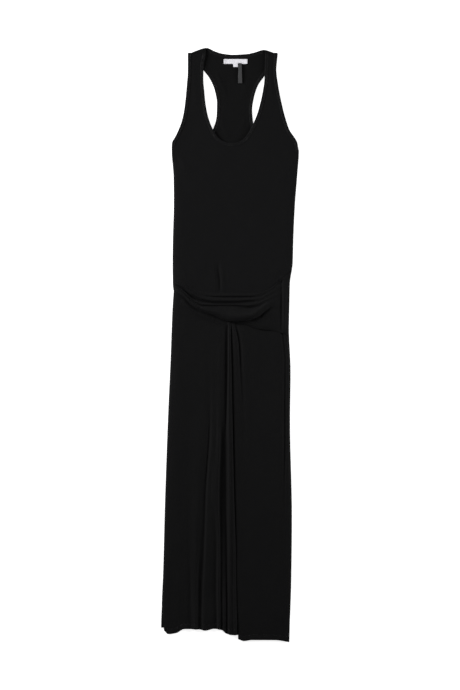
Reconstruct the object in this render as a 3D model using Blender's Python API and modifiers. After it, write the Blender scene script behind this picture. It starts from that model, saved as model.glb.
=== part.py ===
"""Racerback maxi dress in black jersey, laid flat with its front up.

The dress lies on z = 0. +X is to the right of someone looking down at its front, +Y runs from the hem to
the neck and +Z is up. The origin is under the middle of the dress. Tables are in millimetres: `down` is
the distance from the high shoulder point towards the hem, and x is counted from the middle of the dress.
"""

from collections import namedtuple

import bmesh
import bpy
import numpy as np

MM = 0.001

# Driving sizes, in millimetres.
LENGTH = 1514.7  # high shoulder point to the lowest corner of the hem
WALL = 1.2  # jersey
GAP = 0.3  # between pieces that touch
CLEARANCE = 0.5  # between layers whose folds differ
LEVEL = 4.2  # top of the front where it lies flat
UNDERLAP_LEVEL = 3.0  # top of the left skirt where the right one covers it
LAP_LEVEL = UNDERLAP_LEVEL + CLEARANCE + WALL
UNDERLAP = 50.0  # how far the left skirt runs on under the right one
CARRIED_FROM, CARRIED_TO = 5.0, 30.0  # the right skirt comes down over this stretch beyond the underlap
JOIN = 0.00002  # metres within which two points of one sheet are the same

# The front's silhouette: armholes from the shoulder to the underarm, then side seams to the hem.
Edge = namedtuple("Edge", "down left right")
FRONT_EDGES = [
    Edge(15, -107.1, 121.4),
    Edge(57, -107.1, 117.8),
    Edge(96, -109.7, 122.5),
    Edge(155, -115.8, 134.4),
    Edge(185, -121.9, 142.5),
    Edge(210, -131.1, 151.3),
    Edge(228, -139.7, 163.5),
    Edge(241, -147.1, 170.9),
    Edge(249, -148.2, 172.6),
    Edge(264, -148.1, 175.2),
    Edge(333, -143.8, 170.9),
    Edge(394, -143.2, 166.0),
    Edge(485, -145.6, 161.7),
    Edge(548, -146.4, 160.0),
    Edge(600, -145.6, 152.5),
    Edge(640, -141.8, 151.5),
    Edge(733, -146.9, 149.9),
    Edge(848, -151.5, 154.3),
    Edge(963, -157.1, 153.0),
    Edge(1192, -165.8, 157.8),
    Edge(1345, -170.0, 156.1),
    Edge(1478, -175.2, 151.3),
    Edge(1515, -175.2, 150.2),
]
UNDERARM_LEFT = 249.0
UNDERARM_RIGHT = 264.0
MIDDLE = 5.0  # x of the lowest point of the scooped neck

NECKLINE = [
    Edge(15, -61.8, 90.5),
    Edge(48, -67.6, 89.3),
    Edge(80, -68.3, 88.1),
    Edge(111, -65.8, 83.9),
    Edge(142, -62.7, 77.3),
    Edge(172, -57.1, 68.6),
    Edge(203, -46.4, 54.8),
    Edge(222, -36.0, 44.0),
    Edge(235, -23.0, 31.5),
    Edge(241.5, -9.0, 18.5),
    Edge(243, MIDDLE, MIDDLE),
]

# The racer back's armholes, from the shoulder to the underarm.
Point = namedtuple("Point", "x down")
RACER_LEFT = [
    Point(-104.0, 15),
    Point(-88.0, 35),
    Point(-68.1, 55),
    Point(-50.2, 80),
    Point(-37.7, 111),
    Point(-32.9, 142),
    Point(-33.7, 172),
    Point(-41.3, 203),
    Point(-62.0, 230),
    Point(-100.0, 246),
    Point(-147.4, UNDERARM_LEFT),
]
RACER_RIGHT = [
    Point(118.0, 17),
    Point(105.0, 44),
    Point(88.0, 70),
    Point(71.1, 95),
    Point(60.9, 126),
    Point(56.1, 157),
    Point(58.1, 187),
    Point(68.0, 217),
    Point(92.0, 240),
    Point(128.0, 255),
    Point(174.4, UNDERARM_RIGHT),
]
# The back's top edge, over both shoulder seams and the back neck.
BACK_TOP = [
    Point(-104.0, 15),
    Point(-84.0, 6.5),
    Point(-59.9, 0),
    Point(-40.0, 8.4),
    Point(-19.0, 14.8),
    Point(6.0, 17.6),
    Point(42.0, 15.9),
    Point(62.0, 12.0),
    Point(87.0, 5.2),
    Point(104.0, 9.8),
    Point(118.0, 17),
]
BACK_INSET = 0.8  # the back's side edges lie this far inside the front's
BACK_INSET_FROM, BACK_INSET_WHOLE = 1478.0, 1250.0  # but not at the hem, where its corner shows

# The three hems. The back's shows only as a corner beside the left front's.
LEFT_HEM = [
    Point(-167, 1486),
    Point(-158, 1494),
    Point(-136, 1491),
    Point(-117, 1481),
    Point(-80, 1482),
    Point(-62, 1484.5),
    Point(-41, 1480.5),
    Point(-22, 1483.5),
    Point(-6, 1494),
    Point(13, 1496.5),
    Point(72, 1495),
]
RIGHT_HEM = [
    Point(21, 1507),
    Point(36, 1511.5),
    Point(55, 1509),
    Point(120, 1509.5),
    Point(137, 1512),
    Point(150, LENGTH),
]
BACK_HEM = [Point(-175.2, 1478), Point(-100, 1474), Point(60, 1480), Point(151, 1498)]
HEM_CORNER_FROM = 1400.0  # below here the left front draws in and bares the back's corner
HEM_CORNER_INSET = 9.0

# The drape's upper and lower edge at stations across the hips.
Station = namedtuple("Station", "x top bottom")
DRAPE_EDGES = [
    Station(-142.8, 591.6, 619.7),
    Station(-117.3, 603.1, 636.2),
    Station(-94.4, 617.1, 665.6),
    Station(-63.8, 632.4, 678.3),
    Station(-30.6, 633.7, 689.8),
    Station(5.1, 632.4, 697.4),
    Station(40.8, 632.4, 702.5),
    Station(68.9, 628.6, 715.8),
    Station(94.4, 617.1, 717.8),
    Station(122.4, 594.2, 721.7),
    Station(150.5, 568.7, 734.4),
]
# The seam between bodice and skirt, in two straight runs under the drape.
HIP_SEAM = [Point(-146.0, 607), Point(2.6, 672), Point(152.0, 640)]

# The drape's lengthwise folds. A valley's place is a share of the drape's width, its level a height over
# what lies below. A roll lies between two valleys. Columns are places across the hips.
DRAPE_PLACES = (-142.8, -94.4, 5.1, 40.8, 68.9, 94.4, 150.5)
Across = namedtuple("Across", "left near centre turn tuck past right")
VALLEY_SHARES = [
    Across(0.00, 0.00, 0.00, 0.00, 0.00, 0.00, 0.00),
    Across(0.27, 0.21, 0.34, 0.39, 0.31, 0.25, 0.20),
    Across(0.52, 0.47, 0.63, 0.64, 0.50, 0.37, 0.42),
    Across(0.80, 0.90, 0.93, 0.93, 0.67, 0.48, 0.63),
    Across(1.00, 1.00, 1.00, 1.00, 1.00, 1.00, 1.00),
]
VALLEY_LEVELS = [
    Across(0.2, 0.2, 0.2, 0.0, 0.0, 0.0, 0.0),
    Across(0.8, 1.0, 1.2, 0.8, 0.6, 0.4, 0.4),
    Across(1.2, 2.5, 4.0, 4.0, 2.5, 1.2, 0.8),
    Across(1.0, 2.0, 3.2, 2.2, 0.2, 0.2, 0.6),
    Across(0.4, 0.6, 1.2, 0.8, 0.4, 0.2, 0.2),
]
ROLL_HEIGHTS = [
    Across(2.5, 2.6, 2.4, 1.4, 0.8, 1.0, 1.4),
    Across(3.6, 4.6, 4.4, 3.8, 3.0, 2.2, 1.6),
    Across(4.0, 6.0, 8.0, 8.0, 6.5, 3.0, 1.8),
    Across(2.6, 1.4, 0.8, 1.2, 3.6, 4.2, 1.8),
]
ROLL_ROUNDNESS = 0.8  # power of the sine that a roll's section follows; below 1 its top is broader
# The drape clears the highest point of the front within this reach, which is short at a side seam.
REACH_AT_SIDE, REACH, REACH_WHOLE_AT = 2.0, 12.0, 40.0
PINNED_SHARE, PINNED_WIDTH = 0.3, 14.0  # a side seam holds the rolls down to this share of their height

# The skirt's folds. Each starts at a line x, where a lip rises on its right and a dip lies on its left.
# Columns of x, lip and dip are levels down the skirt.
SKIRT_LEVELS = (700, 810, 905, 1155, 1300, 1490)
Level = namedtuple("Level", "hip seat thigh knee shin hem")
Fold = namedtuple("Fold", "x lip dip reach")
LEFT_FOLDS = [
    Fold(
        x=Level(-111, -111, -111, -110, -107, -102),
        lip=Level(0, 0, 0, 0, 0.8, 3.0),
        dip=Level(0, 0, 0, 0, 0.3, 0.6),
        reach=14,
    ),
    Fold(
        x=Level(-43, -47, -52, -66, -72, -79),
        lip=Level(0, 0.4, 1.2, 2.2, 3.2, 4.2),
        dip=Level(0, 0, 0.4, 0.7, 0.9, 1.0),
        reach=16,
    ),
    Fold(
        x=Level(-28, -31, -34, -38, -38, -35),
        lip=Level(0, 0.5, 1.0, 0.4, 1.2, 3.0),
        dip=Level(0, 0, 0.2, 0.2, 0.4, 0.6),
        reach=8,
    ),
    Fold(
        x=Level(-20, -20, -20, -24, -23.5, -21.7),
        lip=Level(0, 0, 0, 0, 1.4, 3.0),
        dip=Level(0, 0, 0, 0.4, 0.6, 0.8),
        reach=10,
    ),
    Fold(
        x=Level(-8.7, -9.5, -9.7, -8.7, -9.7, -9.4),
        lip=Level(4.5, 4.5, 4.5, 5.0, 4.5, 3.5),
        dip=Level(0.8, 0.8, 0.9, 1.0, 0.6, 0.4),
        reach=12,
    ),
]
LAP_LINE = Level(2.6, 6.5, 8.4, 13.5, 17.9, 21.4)
RIGHT_FOLDS = [
    Fold(
        x=LAP_LINE,
        lip=Level(2.6, 2.6, 2.4, 2.0, 1.8, 1.6),
        dip=Level(0, 0, 0, 0, 0, 0),
        reach=5,
    ),
    Fold(
        x=Level(14, 31.4, 36, 42, 48, 54),
        lip=Level(3.4, 2.6, 1.0, 0, 0, 0),
        dip=Level(0.3, 0.3, 0.2, 0, 0, 0),
        reach=5,
    ),
    Fold(
        x=Level(137.5, 140.5, 139.5, 137, 137, 134),
        lip=Level(1.0, 1.0, 1.0, 0.8, 0.2, 0),
        dip=Level(0.7, 0.7, 0.7, 0.5, 0.2, 0),
        reach=10,
    ),
]
RISER = 3.0  # width over which a lip rises
FOLDS_FROM, FOLDS_WHOLE = 684.0, 710.0  # the drape presses the folds flat above the first

# A side seam: the cloth swells beside it and turns down to meet the back.
SWELL, SWELL_AT = 1.6, 9.0
TURN_DROP, TURN_WIDTH = LEVEL - WALL - GAP - WALL, 5.0
TURN_FROM, TURN_WHOLE = 268.0, 330.0  # above the first the armhole binding keeps the front flat

# A short upright crease in the bodice, over the drape.
CREASE_TOP, CREASE_FOOT = Point(-28, 548), Point(-23, 618)
CREASE_HEIGHT, CREASE_WIDTH = 1.4, 7.0

BINDING_WIDTH = 8.0
BINDING_WALL = 1.0
BINDING_CROWN = 0.3
RACER_BOUND = (0.02, 0.985)  # shares of a racer edge between which its binding runs
NECK_BOUND_LEFT, NECK_BOUND_RIGHT = NECKLINE[0].left + 4, NECKLINE[0].right - 6  # ends of the back's

LABEL_LEFT, LABEL_RIGHT, LABEL_TOP, LABEL_FOOT = -15.8, 44.1, 28.6, 40.5
TAB_LEFT, TAB_RIGHT, TAB_FOOT = 8.2, 20.4, 48.7
RIBBON_LEFT, RIBBON_RIGHT, RIBBON_FOOT = 20.7, 30.9, 90.0
LABEL_WALL = 0.8
RIBBON_WALL = 0.6
RIBBON_INSIDE = 0.6  # air inside the ribbon's loop

# How finely the sheets are divided: how many rows and columns, or the shares of the width at columns.
BACK_ARM_ROWS = 19
BODICE_BODY_ROWS, BODICE_STRAP_ROWS = 15, 17
BODICE_COLUMNS = (0, 0.015, 0.05, 0.12, 0.26, 0.45, 0.64, 0.82, 1)
SKIRT_ROWS = 24
BESIDE_SEAM = (0.03, 0.1, 0.25, 0.6)
WIDE_PLEAT, NARROW_PLEAT, HIDDEN = (0.1, 0.4, 0.75), (0.25, 0.6), (0.5,)
RIGHT_COLUMNS = [(0.2, 0.6), (0.06, 0.3, 0.65, 0.9), (0.25, 0.5, 0.8)]
DRAPE_END_COLUMNS, DRAPE_MIDDLE_COLUMNS = (0, 0.01, 0.022, 0.04, 0.065), 24
ROLL_ROWS = (0, 0.22, 0.5, 0.78)
NECK_BINDING_ROWS, ARM_BINDING_ROWS, RACER_BINDING_ROWS, BACK_NECK_ROWS = 41, 25, 27, 19
BENT_ROWS = 5  # rows over which a sheet takes up the line of its curved end


# --- Smooth lines and heights -------------------------------------------------------------------------


def smooth(at, knots, values):
    """The value at each place on a smooth line through the knots, which never passes beyond them."""
    knots, values = np.asarray(knots, float), np.asarray(values, float)
    step = np.diff(knots)
    slope = np.diff(values) / step
    tangent = np.zeros(len(knots))
    tangent[0], tangent[-1] = slope[0], slope[-1]
    rising = slope[:-1] * slope[1:] > 0
    before, after = slope[:-1][rising], slope[1:][rising]
    tangent[1:-1][rising] = 2 * before * after / (before + after)
    at = np.clip(at, knots[0], knots[-1])
    i = np.clip(np.searchsorted(knots, at) - 1, 0, len(step) - 1)
    t = (at - knots[i]) / step[i]
    rise = values[i + 1] - values[i]
    bend = (t - 2 * t**2 + t**3) * tangent[i] - (t**2 - t**3) * tangent[i + 1]
    return values[i] + rise * t**2 * (3 - 2 * t) + bend * step[i]


def ease(at, low, high):
    """0 up to low and 1 from high on, with a soft start and end between them."""
    t = np.clip((at - low) / (high - low), 0, 1)
    return t**2 * (3 - 2 * t)


def fade(rows):
    """1 on the first of this many rows, falling evenly to 0."""
    return np.clip(1 - np.arange(rows) / BENT_ROWS, 0, 1)[:, None]


def column(table, key, name):
    """A table's column as a function of its key column."""
    knots = [getattr(row, key) for row in table]
    values = [getattr(row, name) for row in table]
    return lambda at: smooth(at, knots, values)


def along(points, share):
    """Points (x, down) at these shares of the length of a smooth line through the given ones."""
    points = np.asarray(points, float)
    reach = np.append(0, np.cumsum(np.hypot(*np.diff(points, axis=0).T)))
    share = np.asarray(share) * reach[-1]
    return np.stack([smooth(share, reach, values) for values in points.T], axis=-1)


left_edge = column(FRONT_EDGES, "down", "left")
right_edge = column(FRONT_EDGES, "down", "right")
back_top = column(BACK_TOP, "x", "down")
left_hem = column(LEFT_HEM, "x", "down")
right_hem = column(RIGHT_HEM, "x", "down")
back_hem = column(BACK_HEM, "x", "down")
drape_top = column(DRAPE_EDGES, "x", "top")
drape_foot = column(DRAPE_EDGES, "x", "bottom")


def hip_seam(x):
    """How far down the seam between bodice and skirt lies."""
    return np.interp(x, *zip(*HIP_SEAM))


def skirt_left_edge(down):
    """The left front's outer edge, which draws in near the hem."""
    return left_edge(down) + HEM_CORNER_INSET * ease(down, HEM_CORNER_FROM, LENGTH) ** 2


def fold_line(levels, down):
    """A fold's x, or another of its columns, this far down the skirt."""
    return smooth(down, SKIRT_LEVELS, levels)


def side_turn(distance):
    """Height added at this distance from a side seam: a swell beside it and a turn down to it."""
    swell = SWELL * distance / SWELL_AT * np.exp(1 - distance / SWELL_AT)
    return swell - TURN_DROP * np.clip(1 - distance / TURN_WIDTH, 0, 1) ** 2


def folded(x, down, folds, last):
    """Height added by the skirt's folds. A lip falls off towards the next fold, the last one's to `last`."""
    lines = [fold_line(fold.x, down) for fold in folds] + [last]
    height = np.zeros(np.broadcast(x, down).shape)
    for fold, line, following in zip(folds, lines, lines[1:]):
        up = np.clip((x - line) / RISER, 0, 1)
        share = np.clip((x - line) / (following - line), 0, 1)
        height += fold_line(fold.lip, down) * up * (0.5 + 0.5 * np.cos(np.pi * share))
        short_of = np.clip((line - x) / fold.reach, 0, 1)
        height -= fold_line(fold.dip, down) * (1 - short_of) ** 2 * (1 - up)
    return height * ease(down, FOLDS_FROM, FOLDS_WHOLE)


def bodice_height(x, down):
    """Top of the front above the hip seam."""
    distance = np.maximum(np.minimum(x - left_edge(down), right_edge(down) - x), 0)
    turned = side_turn(distance) * ease(down, TURN_FROM, TURN_WHOLE)
    share = np.clip((down - CREASE_TOP.down) / (CREASE_FOOT.down - CREASE_TOP.down), 0, 1)
    off = (x - CREASE_TOP.x - share * (CREASE_FOOT.x - CREASE_TOP.x)) / CREASE_WIDTH
    crease = CREASE_HEIGHT * np.sin(np.pi * share) * np.exp(-(off**2))
    return LEVEL + turned + crease


def left_skirt_height(x, down):
    """Top of the left front: pleats, a turned side seam, and flat where the right front covers it."""
    lap = fold_line(LAP_LINE, down)
    covered = ease(x, lap - BINDING_WIDTH, lap) * (LEVEL - UNDERLAP_LEVEL)
    turned = side_turn(np.maximum(x - skirt_left_edge(down), 0))
    return LEVEL + turned + folded(x, down, LEFT_FOLDS, lap) - covered


def right_skirt_height(x, down):
    """Top of the right front, which rises a little where it lies on the left one."""
    underlap_end = fold_line(LAP_LINE, down) + UNDERLAP
    carried = 1 - ease(x - underlap_end, CARRIED_FROM, CARRIED_TO)
    turned = side_turn(np.maximum(right_edge(down) - x, 0))
    pleats = folded(x, down, RIGHT_FOLDS, right_edge(down))
    return LEVEL + (LAP_LEVEL - LEVEL) * carried + turned + pleats


def front_height(x, down):
    """Top of whichever front piece lies at this place."""
    skirts = [left_skirt_height(x, down), right_skirt_height(x, down)]
    skirt = np.where(x < fold_line(LAP_LINE, down), *skirts)
    return np.where(down < hip_seam(x), bodice_height(x, down), skirt)


def back_height(x, down):
    """Top of the back, which lies flat."""
    return np.full(np.broadcast(x, down).shape, WALL)


# --- Cloth from grids of points -----------------------------------------------------------------------


def place(x, down, z):
    """Points in metres from their place in millimetres."""
    return np.stack(np.broadcast_arrays(x, LENGTH / 2 - down, z), axis=-1) * MM


def ruled(start, end, shares):
    """x and down of rows of points, each row at the given shares between its two ends."""
    grid = start[:, None] + (end - start)[:, None] * np.asarray(shares)[None, :, None]
    return grid[..., 0], grid[..., 1]


def finish(name, colour, roughness):
    """A plain material."""
    material = bpy.data.materials.new(name)
    material.use_nodes = True
    shader = material.node_tree.nodes["Principled BSDF"]
    shader.inputs["Base Color"].default_value = (*colour, 1)
    shader.inputs["Roughness"].default_value = roughness
    shader.inputs["Metallic"].default_value = 0
    return material


def cloth(name, material, *grids, wall=WALL, grow_up=False):
    """A piece of cloth: sheets of points, rows from hem to neck and left to right in each row.

    Sheets are joined where their edges meet. The wall is laid under the points, or over them.
    """
    bm = bmesh.new()
    for grid in grids:
        rows, columns = grid.shape[:2]
        made = bmesh.ops.create_grid(bm, x_segments=columns - 1, y_segments=rows - 1, size=1)
        for vert, point in zip(made["verts"], grid.reshape(-1, 3)):
            vert.co = point
    bmesh.ops.remove_doubles(bm, verts=bm.verts, dist=JOIN)
    mesh = bpy.data.meshes.new(name)
    bm.to_mesh(mesh)
    bm.free()
    mesh.shade_smooth()
    mesh.materials.append(material)
    piece = bpy.data.objects.new(name, mesh)
    dress.objects.link(piece)
    solid = piece.modifiers.new("wall", "SOLIDIFY")
    solid.thickness = wall * MM
    solid.offset = 1 if grow_up else -1


# --- Panels -------------------------------------------------------------------------------------------


def skirt_rows():
    """Shares from the hem to the hip seam, closer together at both ends."""
    return 0.5 - 0.5 * np.cos(np.pi * np.linspace(0, 1, SKIRT_ROWS))


def row_levels():
    """Roughly how far down each row of the skirt lies, for reading the fold lines."""
    return LEFT_HEM[-1].down + (hip_seam(0.0) - LEFT_HEM[-1].down) * skirt_rows()


def skirt_down(x, hem):
    """How far down each row of the skirt lies at these places across it, a row for each row of x."""
    foot, top = hem(x), hip_seam(x) + GAP / 2
    return foot + (top - foot) * skirt_rows()[:, None]


def bodice_side(edge, underarm):
    """How far down each row of the bodice lies at a side seam, from the hip seam to the underarm."""
    foot = hip_seam(edge(HIP_SEAM[1].down)) - GAP / 2
    return foot + (underarm - foot) * np.linspace(0, 1, BODICE_BODY_ROWS)


def back_side(edge, inset, underarm, racer):
    """x and down along one side of the back: its seam, level with the front's rows, then its armhole."""
    skirt = skirt_down(edge(row_levels())[:, None], back_hem)[:-1, 0]
    down = np.concatenate([skirt, bodice_side(edge, underarm)])
    x = edge(down) + inset * ease(-down, -BACK_INSET_FROM, -BACK_INSET_WHOLE)
    armhole = along(racer, np.linspace(1, 0, BACK_ARM_ROWS))
    return np.concatenate([np.stack([x, down], axis=-1)[:-1], armhole])


def back_panel(material):
    """The back, from the shoulders to the hem, with a racer neck."""
    left = back_side(left_edge, BACK_INSET, UNDERARM_LEFT, RACER_LEFT)
    right = back_side(right_edge, -BACK_INSET, UNDERARM_RIGHT, RACER_RIGHT)
    corner_to_corner = BACK_TOP[-1].x - BACK_TOP[0].x
    x, down = ruled(left, right, [(point.x - BACK_TOP[0].x) / corner_to_corner for point in BACK_TOP])
    down += fade(len(left)) * (back_hem(x[0]) - down[0])
    down += fade(len(left))[::-1] * (back_top(x[-1]) - down[-1])
    cloth("back_panel", material, place(x, down, 0), grow_up=True)


def neckline(share):
    """Points of the scooped neck, from the left shoulder round to the right one."""
    left = [(row.left, row.down) for row in NECKLINE]
    right = [(row.right, row.down) for row in reversed(NECKLINE[:-1])]
    return along(left + right, share)


def neckline_middle():
    """The share of the neckline's length at its lowest point."""
    shares = np.linspace(0, 1, 2001)
    return shares[np.argmax(neckline(shares)[:, 1])]


def front_armhole(side, underarm, rows):
    """Points of a front armhole, from the underarm up to the shoulder."""
    table = [row for row in FRONT_EDGES if row.down <= underarm]
    points = [(getattr(row, side), row.down) for row in reversed(table)]
    return along(points, np.linspace(0, 1, rows))


def bodice_half(edge, side, underarm, neck_end):
    """x and down of one half of the front, its rows running from the outer edge inwards."""
    seam_down = bodice_side(edge, underarm)
    seam = np.stack([edge(seam_down), seam_down], axis=-1)
    outer = np.concatenate([seam[:-1], front_armhole(side, underarm, BODICE_STRAP_ROWS)])
    foot = np.array([HIP_SEAM[1].x, HIP_SEAM[1].down - GAP / 2])
    scoop = np.array([MIDDLE, NECKLINE[-1].down])
    centre = foot + np.linspace(0, 1, BODICE_BODY_ROWS)[:, None] * (scoop - foot)
    neck = neckline(np.linspace(neckline_middle(), neck_end, BODICE_STRAP_ROWS))
    inner = np.concatenate([centre, neck[1:]])
    x, down = ruled(outer, inner, BODICE_COLUMNS)
    down += fade(len(outer)) * (hip_seam(x[0]) - GAP / 2 - down[0])
    return x, down


def front_bodice(material):
    """The front above the hip seam. Its halves join down the middle and part round the scooped neck."""
    left = bodice_half(left_edge, "left", UNDERARM_LEFT, 0)
    right = bodice_half(right_edge, "right", UNDERARM_RIGHT, 1)
    right = [values[:, ::-1] for values in right]
    halves = [place(x, down, bodice_height(x, down)) for x, down in (left, right)]
    cloth("front_bodice", material, *halves)


def skirt_columns(lines, inner_shares):
    """x of a skirt front's columns, which stand at its lines and at shares between them."""
    columns = []
    for line, following, shares in zip(lines, lines[1:], inner_shares):
        columns += [line + (following - line) * share for share in (0, *shares)]
    return np.stack(columns + [lines[-1]], axis=-1)


def front_skirt_left(material):
    """The pleated left front, from its side seam to under the right front."""
    levels = row_levels()
    lap = fold_line(LAP_LINE, levels)
    pleats = [fold_line(fold.x, levels) for fold in LEFT_FOLDS]
    shares = [BESIDE_SEAM, WIDE_PLEAT] + [NARROW_PLEAT] * 4 + [HIDDEN]
    x = skirt_columns([skirt_left_edge(levels), *pleats, lap, lap + UNDERLAP], shares)
    down = skirt_down(x, left_hem)
    cloth("front_skirt_left", material, place(x, down, left_skirt_height(x, down)))


def front_skirt_right(material):
    """The smooth right front, from its free edge on the left one to its side seam."""
    levels = row_levels()
    pleats = [fold_line(fold.x, levels) for fold in RIGHT_FOLDS]
    x = skirt_columns([*pleats, right_edge(levels)], RIGHT_COLUMNS)
    down = skirt_down(x, right_hem)
    cloth("front_skirt_right", material, place(x, down, right_skirt_height(x, down)))


def rolls(station):
    """Share of the drape's width and height over what lies below, for rows of points across its rolls."""
    tables = (VALLEY_SHARES, VALLEY_LEVELS, ROLL_HEIGHTS)
    shares, levels, heights = [
        [smooth(station, DRAPE_PLACES, row) for row in table] for table in tables
    ]
    rows = []
    for i, height in enumerate(heights):
        for part in ROLL_ROWS:
            share = shares[i] + part * (shares[i + 1] - shares[i])
            level = levels[i] + part * (levels[i + 1] - levels[i])
            rows.append((share, level + height * np.sin(np.pi * part) ** ROLL_ROUNDNESS))
    rows.append((shares[-1], levels[-1]))
    return [np.stack(values)[::-1] for values in zip(*rows)]


def hip_drape(material):
    """The swag across the hips: lengthwise rolls that lie side by side, narrow at the left side seam."""
    end = np.array(DRAPE_END_COLUMNS)
    across = np.concatenate([end, np.linspace(0.1, 0.9, DRAPE_MIDDLE_COLUMNS), 1 - end[::-1]])
    station = DRAPE_EDGES[0].x + across * (DRAPE_EDGES[-1].x - DRAPE_EDGES[0].x)
    share, raised = rolls(station)
    down = drape_top(station) + share * (drape_foot(station) - drape_top(station))
    first, last = left_edge(down[:, :1]), right_edge(down[:, -1:])
    x = first + across * (last - first)
    from_side = np.minimum(x - first, last - x)
    reach = REACH_AT_SIDE + (REACH - REACH_AT_SIDE) * ease(from_side, 0, REACH_WHOLE_AT)
    shifts = [(0, 0), (-1, 0), (1, 0), (0, -1), (0, 1)]
    below = np.max([front_height(x + i * reach, down + j * reach) for i, j in shifts], axis=0)
    pinned = PINNED_SHARE + (1 - PINNED_SHARE) * ease(from_side, 0, PINNED_WIDTH)
    z = below + CLEARANCE + WALL + raised * pinned
    cloth("hip_drape", material, place(x, down, z))


# --- Trim ---------------------------------------------------------------------------------------------


def binding(name, material, edge, inward, height):
    """A strip of doubled jersey along an edge of a panel, lying on it. Inward is the side the panel is on."""
    run = np.gradient(edge, axis=0)
    run /= np.linalg.norm(run, axis=1)[:, None]
    across = inward * np.stack([-run[:, 1], run[:, 0]], axis=-1)
    widths = np.array([0, 0.5, 1]) * BINDING_WIDTH
    x, down = [edge[:, i, None] + across[:, i, None] * widths for i in (0, 1)]
    crown = BINDING_CROWN * np.array([0, 1, 0])
    grid = place(x, down, height(x, down) + GAP + BINDING_WALL + crown)
    along_row, up_rows = grid[0, -1] - grid[0, 0], grid[1, 0] - grid[0, 0]
    if np.cross(along_row[:2], up_rows[:2]) < 0:
        grid = grid[:, ::-1]
    cloth(name, material, grid, wall=BINDING_WALL)


def bindings(material):
    """The bindings of the neck and of the four armhole edges."""
    left = front_armhole("left", UNDERARM_LEFT, ARM_BINDING_ROWS)
    right = front_armhole("right", UNDERARM_RIGHT, ARM_BINDING_ROWS)
    neck = neckline(np.linspace(0, 1, NECK_BINDING_ROWS))
    bound = np.linspace(*RACER_BOUND, RACER_BINDING_ROWS)
    x = np.linspace(NECK_BOUND_LEFT, NECK_BOUND_RIGHT, BACK_NECK_ROWS)
    back_neck = np.stack([x, back_top(x)], axis=-1)
    binding("neck_binding_front", material, neck, 1, bodice_height)
    binding("neck_binding_back", material, back_neck, 1, back_height)
    binding("armhole_binding_front_left", material, left, 1, bodice_height)
    binding("armhole_binding_front_right", material, right, -1, bodice_height)
    binding("armhole_binding_back_left", material, along(RACER_LEFT, bound), -1, back_height)
    binding("armhole_binding_back_right", material, along(RACER_RIGHT, bound), 1, back_height)


def woven_strip(name, material, left, right, top, foot):
    """A woven strip that lies on the inside of the back."""
    x = np.linspace(left, right, 5)[None]
    down = np.array([foot, top])[:, None]
    cloth(name, material, place(x, down, WALL + GAP), wall=LABEL_WALL, grow_up=True)


def hanger_loop(material):
    """A narrow ribbon folded into a loop under the label."""
    radius = RIBBON_WALL + RIBBON_INSIDE / 2
    low, high = WALL + GAP, WALL + GAP + 2 * radius
    turn = np.linspace(-np.pi / 2, np.pi / 2, 7)[1:-1]
    straight = np.linspace(LABEL_FOOT + GAP, RIBBON_FOOT - radius, 4)
    down = np.concatenate([straight, straight[-1] + radius * np.cos(turn), straight[::-1]])
    z = np.concatenate([np.full(4, low), low + radius + radius * np.sin(turn), np.full(4, high)])
    x = np.array([RIBBON_LEFT, RIBBON_RIGHT])[None]
    cloth("hanger_loop", material, place(x, down[:, None], z[:, None]), wall=RIBBON_WALL)


for thing in list(bpy.data.objects):
    bpy.data.objects.remove(thing)
dress = bpy.data.collections.new("maxi_dress")
bpy.context.scene.collection.children.link(dress)

BLACK = (0.010, 0.010, 0.011)
back_panel(finish("back jersey", BLACK, 0.85))
front_bodice(finish("bodice jersey", BLACK, 0.85))
front_skirt_left(finish("left skirt jersey", BLACK, 0.85))
front_skirt_right(finish("right skirt jersey", BLACK, 0.85))
hip_drape(finish("drape jersey", BLACK, 0.85))
bindings(finish("binding jersey", BLACK, 0.8))
woven = finish("woven white", (0.85, 0.85, 0.84), 0.6)
woven_strip("neck_label", woven, LABEL_LEFT, LABEL_RIGHT, LABEL_TOP, LABEL_FOOT)
woven_strip("size_tab", woven, TAB_LEFT, TAB_RIGHT, LABEL_FOOT + GAP, TAB_FOOT)
hanger_loop(finish("satin ribbon", (0.03, 0.03, 0.032), 0.35))
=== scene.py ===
"""Racerback maxi dress in black jersey, laid flat with its front up: its visible cloth, trim and sewing.

+X is to the right, +Y runs from the hem to the neck and +Z is up. Tables are in millimetres: `down` is the
distance from the high shoulder point towards the hem, and x is counted from the middle of the dress.
"""

from collections import namedtuple

import bpy
import numpy as np
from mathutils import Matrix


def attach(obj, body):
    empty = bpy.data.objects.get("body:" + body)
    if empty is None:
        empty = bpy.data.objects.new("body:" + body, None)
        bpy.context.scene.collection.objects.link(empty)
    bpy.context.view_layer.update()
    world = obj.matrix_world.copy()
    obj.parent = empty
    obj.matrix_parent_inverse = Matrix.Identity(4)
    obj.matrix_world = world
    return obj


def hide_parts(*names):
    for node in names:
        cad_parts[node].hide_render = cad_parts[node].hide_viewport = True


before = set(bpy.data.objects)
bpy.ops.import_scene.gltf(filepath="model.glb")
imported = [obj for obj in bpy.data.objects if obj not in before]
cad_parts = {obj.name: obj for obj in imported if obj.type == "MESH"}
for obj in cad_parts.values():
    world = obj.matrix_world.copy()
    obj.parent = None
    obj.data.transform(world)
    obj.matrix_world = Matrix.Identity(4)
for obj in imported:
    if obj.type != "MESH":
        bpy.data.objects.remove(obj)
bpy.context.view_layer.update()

# --- Studio -------------------------------------------------------------------------------------------
# The dress lies on a white light table, a hair under its lowest thread. A softbox stands low on its left,
# a weaker one on its right, and the room is dim. The camera hangs over its middle and looks straight down.

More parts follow.
